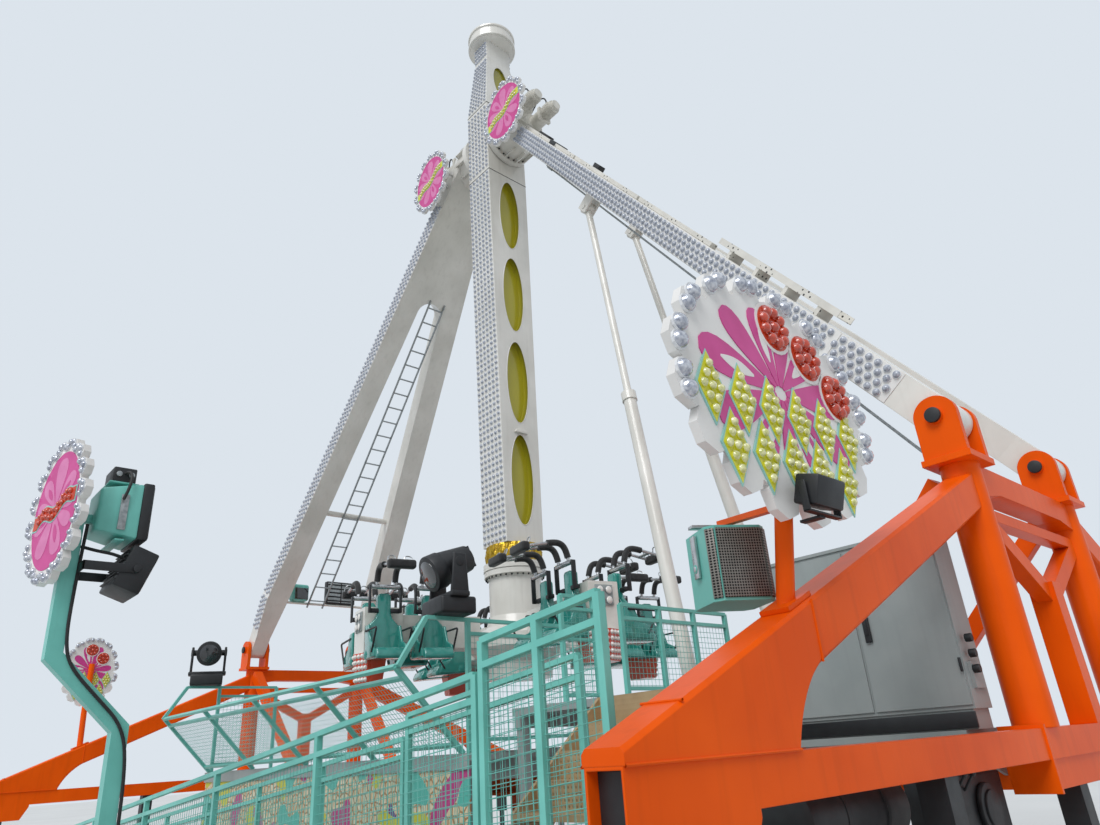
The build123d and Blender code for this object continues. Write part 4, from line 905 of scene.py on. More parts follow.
@dataclass
class Arm:
    """Swinging arm: lamp faces on its narrow sides, section seams, drum, sleeve and slewing ring."""

    columns: int = 6
    pitch: float = 0.100
    spread: float = 0.82
    tip_half: Vector = field(default_factory=lambda: Vector((0.290, 0.352, ARM_TIP_Z)))
    hub_half: Vector = field(default_factory=lambda: Vector((0.300, 0.435, SEAM_LOW)))
    neck_half: Vector = field(default_factory=lambda: Vector((0.195, 0.290, ARM_NECK_Z)))
    seam_deep: float = 0.008
    seam_tall: float = 0.014
    oval_z: tuple[float, ...] = (5.480, 7.160, 8.845, 10.530)
    oval_half: tuple[float, float] = (0.220, 0.740)
    rim_wide: float = 0.45
    rim_deep: float = 0.25
    hood_at: tuple[float, float] = (0.291, 6.235)
    hood_deep: float = 0.050
    hood_line: tuple[tuple[float, float], ...] = ((-0.13, 0.0), (0.13, 0.0), (0.10, 0.05), (0.04, 0.075),
                                                  (-0.04, 0.075), (-0.10, 0.05))
    race_bolts: int = 32

    def edge(self, a: Vector, b: Vector, share: float, side: int) -> tuple[Vector, Vector]:
        """Two ends of a line on the narrow face, at a share of its half width."""
        return (Vector((a.x * share, side * a.y, a.z)), Vector((b.x * share, side * b.y, b.z)))

    def lamp_face(self, side: int) -> None:
        """Lamps in columns over the face on one side.

        Args:
            side: 1 for the back, -1 for the front.
        """
        high = Vector((self.hub_half.x, self.hub_half.y, SEAM_HIGH))
        top = Vector((self.neck_half.x, self.neck_half.y, ARM_TOP_Z))
        lines = []
        for low, end in ((self.tip_half, self.hub_half), (self.hub_half, high), (high, self.neck_half),
                         (self.neck_half, top)):
            for k in range(self.columns):
                share = self.spread * (2 * k / (self.columns - 1) - 1)
                a, b = self.edge(low, end, share, side)
                step = (b - a).normalized() * self.pitch
                count = int((b - a).length / self.pitch - 0.3)
                lines.append((a + (b - a - step * (count - 1)) / 2, step, count))
        lamps = Bulb(CAP_GREY).rows(lines, (0, side, 0))
        deliver(lamps, f"arm_lamps_{'front' if side < 0 else 'back'}", Body.ARM)

    def seams(self) -> None:
        """Dark joint lines round the arm where its sections are bolted together."""
        rings = []
        for z in (SEAM_LOW, SEAM_HIGH):
            half = self.hub_half
            for sx, sy in ((1, 0), (-1, 0), (0, 1), (0, -1)):
                size = ((self.seam_deep, 2 * half.y + 0.01, self.seam_tall) if sx
                        else (2 * half.x + 0.01, self.seam_deep, self.seam_tall))
                rings.append(Bench.block(size, (sx * half.x, sy * half.y, z), edge=0.002, segments=1))
        deliver(Bench.join(rings), "arm_section_seams", Body.ARM, RUBBER)

    def oval_rims(self) -> None:
        """Rolled edges round the oval openings."""
        rims = []
        half_w, half_h = self.oval_half
        grow, tall = self.hub_half.x - self.tip_half.x, SEAM_LOW - ARM_TIP_Z
        lean = grow / tall
        for z in self.oval_z:
            x = self.tip_half.x + grow * (z - ARM_TIP_Z) / tall
            for s in (-1, 1):
                Bench.clear()
                bpy.ops.mesh.primitive_torus_add(major_segments=56, minor_segments=6, major_radius=1.0,
                                                 minor_radius=0.02)
                ring = bpy.context.object
                for vertex in ring.data.vertices:
                    c = vertex.co
                    out = (hypot(c.x, c.y) - 1.0) * self.rim_wide
                    a = atan2(c.y, c.x)
                    py, pz = (half_w + out) * cos(a), (half_h + out) * sin(a)
                    vertex.co = (s * (x + lean * pz + c.z * self.rim_deep), py, z + pz)
                if s < 0:
                    ring.data.flip_normals()
                Bench.only(ring)
                bpy.ops.object.shade_smooth()
                rims.append(ring)
        deliver(Bench.join(rims), "arm_oval_rims", Body.ARM, WHITE)

    def hood(self) -> None:
        """Small rain hood above the lowest oval, on both wide plates."""
        x, z = self.hood_at
        hoods = [Bench.plate(self.hood_line, self.hood_deep, facing((s * x, 0, z), (s, 0, 0)), edge=0.008)
                 for s in (-1, 1)]
        deliver(Bench.join(hoods), "arm_hoods", Body.ARM, WHITE)

    def sleeve(self) -> None:
        """Crinkled film sleeve over the arm's foot, gathered under a cord at its top and bottom."""
        low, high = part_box("collar")
        Bench.clear()
        bpy.ops.mesh.primitive_cylinder_add(vertices=96, radius=high.x, depth=high.z - low.z,
                                            location=(0, 0, (low.z + high.z) / 2))
        wrap = Bench.settle(bpy.context.object)
        Bench.only(wrap)
        bpy.ops.object.mode_set(mode="EDIT")
        bpy.ops.mesh.select_all(action="SELECT")
        bpy.ops.mesh.subdivide(number_cuts=5)
        bpy.ops.object.mode_set(mode="OBJECT")
        for vertex in wrap.data.vertices:
            c = vertex.co
            r, a = hypot(c.x, c.y), atan2(c.y, c.x)
            if r < high.x * 0.97:
                continue
            t = (c.z - low.z) / (high.z - low.z)
            bulge = sin(pi * t)
            fold = sin(a * 23 + 3 * sin(t * 5)) * 0.008 + sin(a * 41 - 6 * t) * 0.005
            grown = high.x * (0.985 + 0.045 * bulge) + fold * (0.5 + bulge)
            vertex.co = (grown * cos(a), grown * sin(a), c.z)
        Bench.only(wrap)
        bpy.ops.object.shade_smooth_by_angle(angle=0.9)
        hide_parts("collar")
        deliver(wrap, "gold_sleeve", Body.ARM, GOLD)

    def slew_bolts(self) -> None:
        """Two rings of bolt heads: on the upper race and under the column's race."""
        turns = [2 * pi * i / self.race_bolts for i in range(self.race_bolts)]
        for name, body, z, radius, finish in (("upper_race_bolts", Body.ARM, 4.181, 0.437, ZINC),
                                              ("lower_race_bolts", Body.GONDOLA, 3.975, 0.430, BLACK)):
            spots = [Matrix.Translation((radius * cos(a), radius * sin(a), z)) for a in turns]
            deliver(Bench.repeat(Bench.bolt(0.014, 0.020), spots), name, body, finish)

    def build(self) -> None:
        """Dress the nodes of the arm and add its pieces."""
        dress("arm_lower", ARM_LOW)
        dress("arm_upper", ARM_HIGH)
        for node in ("arm_hub", "counterweight", "slew_ring"):
            dress(node, WHITE)
        for side in (-1, 1):
            self.lamp_face(side)
        self.seams()
        self.oval_rims()
        self.hood()
        self.sleeve()
        self.slew_bolts()


def on_support(u: float, y: float, n: float, side: int) -> Vector:
    """Point u down a support's legs, y across and n above its middle plane; side is 1 for the right one."""
    return Vector((side * (HEAD_X + LEAN_X * u + LEAN_Z * n), y, HUB_Z - LEAN_Z * u + LEAN_X * n))


def leg_outer(u: float) -> float:
    """Half width of a support over its outer edges."""
    return LEG_W0 + LEG_SLOPE * u


@dataclass
class Supports:
    """Forked supports: lamp strips on their front edges, channels, boxes, and the tray, stay and ladder finish."""

    lamp_rows: int = 4
    row_pitch: float = 0.070
    lamp_pitch: float = 0.100
    strip: tuple[tuple[float, float], ...] = ((0.95, -0.510), (9.27, -1.296), (9.98, -1.264))
    plate_wide: float = 0.288
    plate_thick: float = 0.006
    plate_run: float = 1.36
    channel_runs: tuple[tuple[float, float], ...] = ((1.0, 3.1), (3.15, 5.2), (5.25, 7.0))
    channel_wide: float = 0.100
    channel_tall: float = 0.055
    channel_in: float = 0.090
    box_rows: tuple[tuple[float, ...], ...] = ((1.55, 0.22, 0.34, 0.09), (2.35, 0.10, 0.42, 0.07),
                                               (3.60, 0.24, 0.16, 0.12))
    tray_run: tuple[float, float] = (7.05, 9.05)
    tray_in: float = 0.200
    tray_lift: float = 0.085

    def lamp_strip(self, side: int) -> None:
        """Lamps in rows along the front edge of one support, on plates with joints.

        Args:
            side: 1 for the right support, -1 for the left one.
        """
        rise = Vector((side * LEAN_Z, 0, LEAN_X))
        lines, plates, thick = [], [], self.plate_thick
        for (u0, y0), (u1, y1) in zip(self.strip, self.strip[1:]):
            a, b = on_support(u0, y0, 0, side), on_support(u1, y1, 0, side)
            along = (b - a).normalized()
            normal = rise.cross(along) if rise.cross(along).y < 0 else along.cross(rise)
            count = int((b - a).length / self.lamp_pitch)
            for k in range(self.lamp_rows):
                n = self.row_pitch * (k - (self.lamp_rows - 1) / 2)
                shift = along * (self.lamp_pitch / 2 * (k % 2))
                lines.append((a + rise * n + normal * thick + shift, along * self.lamp_pitch, count))
            joints = max(1, round((b - a).length / self.plate_run))
            length = (b - a).length / joints
            for i in range(joints):
                plate = Bench.block((self.plate_wide, length - 0.006, thick), (0, 0, 0), edge=0.001, segments=1)
                middle = a + along * (length * (i + 0.5)) + normal * (thick / 2)
                plates.append(Bench.put(plate, facing(middle, normal, along)))
        deliver(Bulb(CAP_GREY, radius=0.033).rows(lines, normal), f"support_lamps_{SIDES[side]}", Body.FRAME)
        deliver(Bench.join(plates), f"lamp_plates_{SIDES[side]}", Body.FRAME, BOARD)

    def channel(self, side: int) -> None:
        """Punched cable channel along the top of the front leg.

        Args:
            side: 1 for the right support, -1 for the left one.
        """
        pieces = []
        for run in self.channel_runs:
            a, b = (on_support(u, -leg_outer(u) + self.channel_in, LEG_T / 2 + 0.028, side) for u in run)
            bar = Bench.block((self.channel_wide, (b - a).length, self.channel_tall), (0, 0, 0), edge=0.004,
                              segments=1)
            pieces.append(Bench.put(bar, facing((a + b) / 2, (side * LEAN_Z, 0, LEAN_X), b - a)))
        deliver(Bench.join(pieces), f"cable_channel_{SIDES[side]}", Body.FRAME, PUNCHED)

    def top_boxes(self) -> None:
        """Junction boxes and a slim lamp on top of the right front leg."""
        boxes = []
        for u, dy, length, tall in self.box_rows:
            at = on_support(u, -leg_outer(u) + dy, LEG_T / 2 + tall / 2 + 0.001, 1)
            box = Bench.block((0.12, length, tall), (0, 0, 0), edge=0.008)
            boxes.append(Bench.put(box, facing(at, (LEAN_Z, 0, LEAN_X), (LEAN_X, 0, -LEAN_Z))))
        deliver(Bench.join(boxes), "support_boxes", Body.FRAME, BLACK)

    def tray_lids(self) -> None:
        """Covered boxes in the cable tray of the right front leg."""
        a, b = (on_support(u, -leg_outer(u) + self.tray_in, LEG_T / 2 + self.tray_lift, 1) for u in self.tray_run)
        at = facing((a + b) / 2, (LEAN_Z, 0, LEAN_X), b - a)
        lids = []
        for y, size, finish in ((-0.62, (0.16, 0.62, 0.05), TEAL), (-0.12, (0.12, 0.30, 0.045), OLIVE)):
            lids.append(Bench.paint(Bench.put(Bench.block(size, (0, y, 0.034), edge=0.006), at), finish))
        deliver(Bench.join(lids), "cable_tray_boxes", Body.FRAME)

    def build(self) -> None:
        """Dress the nodes of the supports and add their pieces."""
        for node in ("support_right", "support_left", "ram_barrels", "ram_rods"):
            dress(node, WHITE)
        dress("ladder", ZINC)
        dress("stay_wires", ZINC)
        dress("cable_tray", PUNCHED)
        for side in (-1, 1):
            self.lamp_strip(side)
            self.channel(side)
        self.top_boxes()
        self.tray_lids()


@dataclass
class Heads:
    """Bearing heads and gear motors: flange bolts, cooling ribs and cable conduits."""

    flange_x: float = 0.422
    flange_r: float = 0.465
    motor_y: float = 0.215
    motor_z: float = 12.350
    motor_x0: float = 1.140
    motor_r: float = 0.115
    bolt_count: int = 24
    rib_count: int = 11
    rib_pitch: float = 0.027

    def bolts(self) -> None:
        """Ring of bolt heads on the outer side of each bearing flange."""
        spots = []
        for side in (-1, 1):
            for i in range(self.bolt_count):
                a = radians(360 / self.bolt_count * (i + 0.5))
                at = (side * (self.flange_x + 0.010), self.flange_r * cos(a),
                      HUB_Z + self.flange_r * sin(a))
                spots.append(facing(at, (side, 0, 0)))
        deliver(Bench.repeat(Bench.bolt(0.017, 0.022), spots), "head_bolts", Body.FRAME, BLACK)

    def ribs(self) -> None:
        """Cooling ribs round the motors."""
        rib_seed = Bench.drum(self.motor_r + 0.012, (0, 0, -0.004), (0, 0, 0.004), sides=20)
        spots = []
        for side in (-1, 1):
            for y in (-self.motor_y, self.motor_y):
                for i in range(self.rib_count):
                    x = self.motor_x0 + 0.03 + self.rib_pitch * i
                    spots.append(facing((side * x, y, self.motor_z), (side, 0, 0)))
        deliver(Bench.repeat(rib_seed, spots), "motor_ribs", Body.FRAME, MOTOR)

    def conduits(self) -> None:
        """Stiff black conduits from the motor boxes back to the head."""
        parts = []
        for side in (-1, 1):
            for y, lift in ((-self.motor_y, 0.16), (self.motor_y, 0.20)):
                x = side * (self.motor_x0 + 0.13)
                z = self.motor_z + self.motor_r + 0.05
                line = [(x, y, z), (x, y, z + lift), (x - side * 0.14, y - 0.06, z + lift + 0.04),
                        (x - side * 0.26, y - 0.10, z + 0.06),
                        (x - side * 0.30, y - 0.12, self.motor_z + 0.15)]
                parts.append(Bench.tube(line, 0.014))
        deliver(Bench.join(parts), "motor_conduits", Body.FRAME, RUBBER)

    def build(self) -> None:
        """Dress the heads and motors and add their pieces."""
        for node in ("head_right", "head_left"):
            dress(node, WHITE)
        dress("drive_motors", MOTOR)
        self.bolts()
        self.ribs()
        self.conduits()


@dataclass
class Bases:
    """Orange bases: weld beads, pin caps, dark end plates as painted shade, and a service box and tank under the right
    one.
    """

    bead: float = 0.007
    weld_in: float = 4.210
    joint_y: float = 3.900
    joint_tall: float = 0.290
    nose_y: float = 4.950
    nose_rise: float = 0.206
    pin_r: float = 0.062
    pin_half: float = 0.235
    pin_proud: float = 0.026
    box_y: float = -1.950
    box_z: float = 1.100
    cover_y: float = -1.800
    lever_y: tuple[float, ...] = (-2.30, -2.18, -2.06)
    tank_r: float = 0.200
    tank_z: float = 1.200
    tank_in: float = 0.380
    hoop_y: tuple[float, float] = (-3.45, -3.05)

    def weld(self, points: Sequence[Sequence[float]]) -> Object:
        """Weld bead along straight runs."""
        return Bench.tube(points, self.bead, sides=1, smooth=False, caps=False)

    def welds(self) -> None:
        """Beads where the sloped beams meet the ground beams, and across their plates."""
        parts = []
        for side in (-1, 1):
            for face in (-1, 1):
                x = side * BASE_X + face * BRACE_HALF
                for s in (-1, 1):
                    parts.append(self.weld([(x, s * BASE_END_Y, GROUND_TOP + 0.002),
                                            (x, s * self.weld_in, GROUND_TOP + 0.002)]))
                    top = GROUND_TOP + BRACE_RISE + BRACE_SLOPE * (BASE_END_Y - self.joint_y)
                    parts.append(self.weld([(x, s * self.joint_y, top - 0.004),
                                            (x, s * self.joint_y, top - self.joint_tall)]))
            for s in (-1, 1):
                parts.append(self.weld([(side * BASE_X + half, s * self.nose_y, GROUND_TOP + self.nose_rise)
                                        for half in (-BRACE_HALF, BRACE_HALF)]))
        deliver(Bench.join(parts), "base_weld_beads", Body.FRAME, ORANGE)

    def pin_caps(self) -> None:
        """Black caps on the ends of the support pins."""
        caps = []
        for side in (-1, 1):
            for s in (-1, 1):
                for k in (-1, 1):
                    y = s * PIN_Y + k * self.pin_half
                    caps.append(Bench.drum(self.pin_r, (side * BASE_X, y, PIN_Z),
                                           (side * BASE_X, y + k * self.pin_proud, PIN_Z), sides=24, edge=0.006))
        deliver(Bench.join(caps), "pin_caps", Body.FRAME, BLACK)

    def end_shade_plates(self) -> None:
        """Dark plates set back in the open ends of the ground beams: painted shade inside the hollow beams."""
        caps = [Bench.block((0.164, 0.008, 0.374), (side * BASE_X, s * (BASE_END_Y - 0.055), 1.330), edge=0.002,
                            segments=1) for side in (-1, 1) for s in (-1, 1)]
        deliver(Bench.join(caps), "beam_end_shade_plates", Body.FRAME, BLACK)

    def under_box(self) -> None:
        """Service box with a round cover and valve levers, hung inside the right base."""
        x, y, z = BASE_X - 0.16, self.cover_y, self.box_z
        parts = [Bench.block((0.20, 0.95, 0.40), (x - 0.12, self.box_y, z), edge=0.01),
                 Bench.drum(0.15, (x - 0.02, y, z), (x + 0.015, y, z), sides=28, edge=0.01),
                 Bench.drum(0.11, (x + 0.01, y, z), (x + 0.03, y, z), sides=28, edge=0.006),
                 Bench.block((0.10, 0.80, 0.10), (x - 0.10, self.box_y, 1.32), edge=0.004)]
        for y in self.lever_y:
            parts.append(Bench.drum(0.008, (x - 0.02, y, 1.22), (x + 0.05, y, 1.31), sides=8))
            parts.append(Bench.drum(0.016, (x + 0.045, y, 1.30), (x + 0.062, y, 1.33), sides=10, edge=0.004))
        deliver(Bench.join(parts), "service_box", Body.FRAME, BLACK)

    def air_tank(self) -> None:
        """Round tank in two hoops under the right base."""
        x, z = BASE_X - self.tank_in, self.tank_z
        tank = Bench.drum(self.tank_r, (x, -3.75, z), (x, -2.75, z), sides=32, edge=0.05)
        hoops = [Bench.drum(self.tank_r + 0.005, (x, y, z), (x, y + 0.03, z), sides=32) for y in self.hoop_y]
        hangers = [Bench.block((0.28, 0.03, 0.05), (BASE_X - 0.20, y + 0.015, 1.375), edge=0.003, segments=1)
                   for y in self.hoop_y]
        deliver(Bench.join([tank, *hoops, *hangers]), "air_tank", Body.FRAME, BLACK)

    def build(self) -> None:
        """Dress the nodes of both bases and add their pieces."""
        for name in ("base_beam", "braces", "tower", "clevises"):
            for side in SIDES.values():
                dress(f"{name}_{side}", ORANGE)
        for node in ("chassis", "cross_members"):
            dress(node, ORANGE)
        dress("feet", BLACK)
        self.welds()
        self.pin_caps()
        self.end_shade_plates()
        self.under_box()
        self.air_tank()


def spoke_turn(k: int) -> Matrix:
    """Turn of spoke k about the gondola's axis."""
    return Matrix.Rotation(TURN + pi / 2 * k, 4, "Z")


@dataclass
class Gondola:
    """Seat gondola: moulded seats, foam restraints, lamp panels and guards."""

    seat_r: tuple[float, float] = (1.500, 2.120)
    seat_w: float = 0.225
    back: float = 0.270
    pan_z: float = 2.790
    hinge_f: float = 0.410
    hinge_z: float = 3.695
    spoke_end: float = 2.330
    panel_columns: int = 4
    panel_rows: int = 5
    lamp_plate_z: float = 3.300
    lamp_plate_half: float = 0.062

    def places(self, k: int, side: int) -> list[Matrix]:
        """Places of the two seats on one side of spoke k, mirrored where side is -1."""
        mirror = Matrix.Scale(-1, 4, Y_AXIS) if side < 0 else Matrix.Identity(4)
        return [spoke_turn(k) @ Matrix.Translation((r, 0, 0)) @ mirror for r in self.seat_r]

    def shell(self) -> Object:
        """Seat shell about x = 0, looking along +Y: torso-shaped back, pan and hip wings.

        Returns:
            The shell as one object.
        """
        w, z = self.seat_w, self.pan_z
        right = [(w, z), (w + 0.015, 2.850), (w - 0.020, 2.960), (w - 0.030, 3.060), (w - 0.004, 3.130),
                 (w - 0.030, 3.215), (0.112, 3.300), (0.088, 3.370), (0.088, 3.590), (0.060, 3.620)]
        line = right + [(-x, y) for x, y in reversed(right)]
        back = Bench.plate(line, 0.110, facing((0, self.back, 0), (0, 1, 0)), edge=0.040, segments=4)
        side = [(self.back, z), (0.740, z - 0.030), (0.750, z + 0.020), (0.700, z + 0.110),
                (0.470, z + 0.060), (self.back, z + 0.110)]
        pan = Bench.plate(side, 2 * (w - 0.025), across(-(w - 0.025)), edge=0.022, segments=3)
        wing = [(self.back, z), (0.680, z), (0.650, z + 0.150), (0.500, z + 0.210), (0.410, z + 0.420),
                (self.back, z + 0.430)]
        wings = [Bench.plate(wing, 0.036, across(s * (w - 0.020) - 0.018), edge=0.014, segments=3)
                 for s in (-1, 1)]
        return Bench.paint(Bench.join([back, pan, *wings]), SHELL)

    def frame_work(self) -> Object:
        """Seat bracket, hinge posts and pin about x = 0.

        Returns:
            The bracket, posts and pin as one object.
        """
        f, z = self.hinge_f, self.hinge_z
        bracket = Bench.block((0.180, self.back - 0.19, 0.26), (0, (self.back + 0.20) / 2, 3.12), edge=0.008)
        parts = [Bench.paint(bracket, WHITE),
                 Bench.paint(Bench.drum(0.016, (-0.218, f, z), (0.218, f, z), sides=12), STEEL)]
        for s in (-1, 1):
            post = Bench.block((0.024, 0.062, 0.350), (s * 0.207, 0.402, 3.540), edge=0.008)
            arm = Bench.block((0.13, 0.062, 0.055), (s * 0.145, 0.362, 3.395), edge=0.010)
            parts += [Bench.paint(post, BLACK), Bench.paint(arm, BLACK)]
        return Bench.join(parts)

    def guard(self) -> Object:
        """Black tube guards on both sides of one seat.

        Returns:
            The guards as one object.
        """
        parts = []
        for s in (-1, 1):
            x = s * (self.seat_w + 0.003)
            line = [(x, 0.330, 3.140), (x, 0.700, 3.131), (x, 0.782, 3.128), (x, 0.745, 3.060),
                    (x, 0.610, 2.850)]
            parts.append(Bench.tube(line, 0.013))
        return Bench.paint(Bench.join(parts), BLACK)

    def seats(self) -> None:
        """All sixteen seats, each with its own mesh."""
        whole = Bench.join([self.shell(), self.frame_work(), self.guard()])
        twins = [Bench.copy(whole, at, side < 0) for k in range(4) for side in (-1, 1)
                 for at in self.places(k, side)]
        bpy.data.objects.remove(whole)
        ob = Bench.join(twins)
        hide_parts("seats")
        deliver(ob, "moulded_seats", Body.GONDOLA)

    def hoop(self) -> tuple[Object, Object]:
        """One raised over-shoulder restraint about x = 0: its foam and its steelwork.

        Returns:
            The foam pads and the steel, as two objects.
        """
        f, z = self.hinge_f, self.hinge_z
        foam, steel = [], []
        for s in (-1, 1):
            x = s * 0.120
            line = [(x, f + 0.010, z + 0.060), (x, f + 0.030, z + 0.150), (x, f + 0.085, z + 0.225),
                    (x, f + 0.180, z + 0.245), (x, f + 0.290, z + 0.225)]
            pad = Bench.tube(line, 0.042, sides=3)
            foam.append(Bench.rounded(pad, 0.012, 2))
            steel.append(Bench.tube([(x, f, z), (x, f + 0.006, z + 0.040), (x, f + 0.014, z + 0.09)], 0.022))
            steel.append(Bench.tube([(x, f + 0.270, z + 0.230), (x, f + 0.42, z + 0.203),
                                     (x, f + 0.600, z + 0.170)], 0.021))
        end = z + 0.165
        chest = Bench.block((0.370, 0.110, 0.115), (0, f + 0.610, end), edge=0.034, segments=4)
        foam.append(chest)
        steel.append(Bench.drum(0.032, (-0.184, f, z), (0.184, f, z), sides=16, edge=0.005))
        steel.append(Bench.drum(0.018, (-0.13, f + 0.430, z + 0.200), (0.13, f + 0.430, z + 0.200), sides=10))
        for s in (-1, 1):
            grip = [(s * 0.05, f + 0.545, end + 0.045), (s * 0.06, f + 0.530, end + 0.115),
                    (s * 0.12, f + 0.530, end + 0.125), (s * 0.165, f + 0.545, end + 0.10),
                    (s * 0.165, f + 0.570, end + 0.045)]
            steel.append(Bench.tube(grip, 0.008, sides=1))
        return Bench.join(foam), Bench.join(steel)

    def restraints(self) -> None:
        """Every pair of restraints, on its own body."""
        foam, steel = self.hoop()
        Bench.paint(foam, FOAM)
        Bench.paint(steel, STEEL)
        for k in range(4):
            for side, tag in ((-1, "a"), (1, "b")):
                body = f"restraints_{k + 1}{tag}"
                pads, bars = (Bench.join([Bench.copy(ob, at, side < 0) for at in self.places(k, side)])
                              for ob in (foam, steel))
                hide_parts(body)
                deliver(pads, f"foam_{k + 1}{tag}", body)
                deliver(bars, f"restraint_steel_{k + 1}{tag}", body)
        for ob in (foam, steel):
            bpy.data.objects.remove(ob)

    def lamp_panels(self) -> None:
        """Lamps on the V-shaped end panels, and a plate of four on each housing."""
        e = self.spoke_end
        seed = Bulb(CAP_WHITE, radius=0.026, sides=8).build()
        places = []
        for s in (-1, 1):
            high = (Vector((e - 0.040, s * 0.270, 2.900)), Vector((e + 0.070, 0, 2.900)))
            low = (Vector((e - 0.060, s * 0.200, 2.530)), Vector((e + 0.030, 0, 2.530)))
            normal = (high[1] - high[0]).cross(low[0] - high[0])
            if normal.x < 0:
                normal.negate()
            for i in range(self.panel_columns):
                for j in range(self.panel_rows):
                    t, v = (i + 0.55) / (self.panel_columns + 0.1), (j + 0.6) / (self.panel_rows + 0.2)
                    top = high[0].lerp(high[1], t)
                    foot = low[0].lerp(low[1], t)
                    places.append(facing(top.lerp(foot, v), normal))
        panel = [spoke_turn(k) @ at for k in range(4) for at in places]
        deliver(Bench.repeat(seed, panel), "panel_lamps", Body.GONDOLA)
        middle, half = self.lamp_plate_z, self.lamp_plate_half
        cups = [Bench.paint(Bench.block((0.018, 0.250, 0.250), (e + 0.009, 0, middle), edge=0.004), GREY)]
        for y in (-half, half):
            for z in (-half, half):
                lamp = Bulb(CAP_WHITE, radius=0.046, base=ZINC, rise=0.35, sides=16).build()
                lamp.data.transform(facing((e + 0.018, y, middle + z), (1, 0, 0)))
                cups.append(lamp)
        whole = Bench.repeat(Bench.join(cups), [spoke_turn(k) for k in range(4)])
        deliver(whole, "housing_lamp_plates", Body.GONDOLA)

    def build(self) -> None:
        """Dress the nodes of the gondola and add its pieces."""
        dress("gondola_column", WHITE)
        dress("gondola_spokes", SPOKE_PAINT)
        self.seats()
        self.restraints()
        self.lamp_panels()


@dataclass
class Fences:
    """Fences and rails: welded wire mesh in every panel."""

    wire: float = 0.0022
    pitch: float = 0.050
    low: float = 0.10
    high: float = 0.12
    front_x: tuple[float, float] = (-2.80, 3.10)
    front_y: float = -3.20
    lean: tuple[float, float] = (-0.670, 0.690)
    side_panels: tuple[tuple[float, ...], ...] = (
        (FENCE_RIGHT, -3.16, -1.50, DECK_TOP, 1.10), (FENCE_LEFT, -3.16, -2.33, DECK_TOP, 1.10),
        (4.06, -2.13, -0.58, ENTRY_TOP, 0.82), (3.45, -2.30, -1.87, ENTRY_TOP, 1.00))
    ramp_panels: tuple[tuple[float, ...], ...] = ((-4.075, -2.80, 3.65, 5.50), (-4.925, -2.80, 5.70, 6.54))

    def mesh(self, a: Vector, b: Vector, up: Vector) -> Object:
        """Wire mesh over the sloping panel from a to b.

        Args:
            a: lower corner at one end.
            b: lower corner at the other end.
            up: from the lower to the upper edge.

        Returns:
            The wires as one object.
        """
        run = b - a
        along = run.normalized()
        rise = up.normalized()
        made = []
        for start, end, step_dir, span in ((a, a + up, along, run.length), (a, a + run, rise, up.length)):
            count = max(2, int(span / self.pitch))
            step = step_dir * (span / count)
            wire = Bench.drum(self.wire, start + step * 0.5, end + step * 0.5, sides=4)
            made.append(Bench.row(wire, step, count))
        return Bench.join(made)

    def upright(self, a: Sequence[float], b: Sequence[float], tall: float) -> Object:
        """Wire mesh in an upright panel of a height, with its feet at a and b."""
        ends = [Vector((x, y, z + self.low)) for x, y, z in (a, b)]
        return self.mesh(*ends, Vector((0, 0, tall - self.low - self.high)))

    def build(self) -> None:
        """Dress the rails and add their mesh."""
        for node in ("balustrade", "fence_front", "fence_right", "ramp_rails", "light_tower"):
            dress(node, TEAL)
        lean = Vector((0, *self.lean))
        foot = lean.normalized() * self.low
        a, b = (Vector((x, self.front_y, DECK_TOP)) + foot for x in self.front_x)
        panels = [self.mesh(a, b, lean * ((lean.length - self.low - self.high) / lean.length))]
        for x, y0, y1, z, tall in self.side_panels:
            panels.append(self.upright((x, y0, z), (x, y1, z), tall))
        for y, x0, x1, x2 in self.ramp_panels:
            for xa, xb, tall in ((x0, x1 - 0.06, 0.95), (x1, x2, 1.10)):
                ends = [(x, y, RAMP_Z0 + RAMP_SLOPE * (x - RAMP_X0) + 0.03) for x in (xa, xb)]
                panels.append(self.upright(*ends, tall))
        deliver(Bench.join(panels), "fence_wire_mesh", Body.FRAME, TEAL)


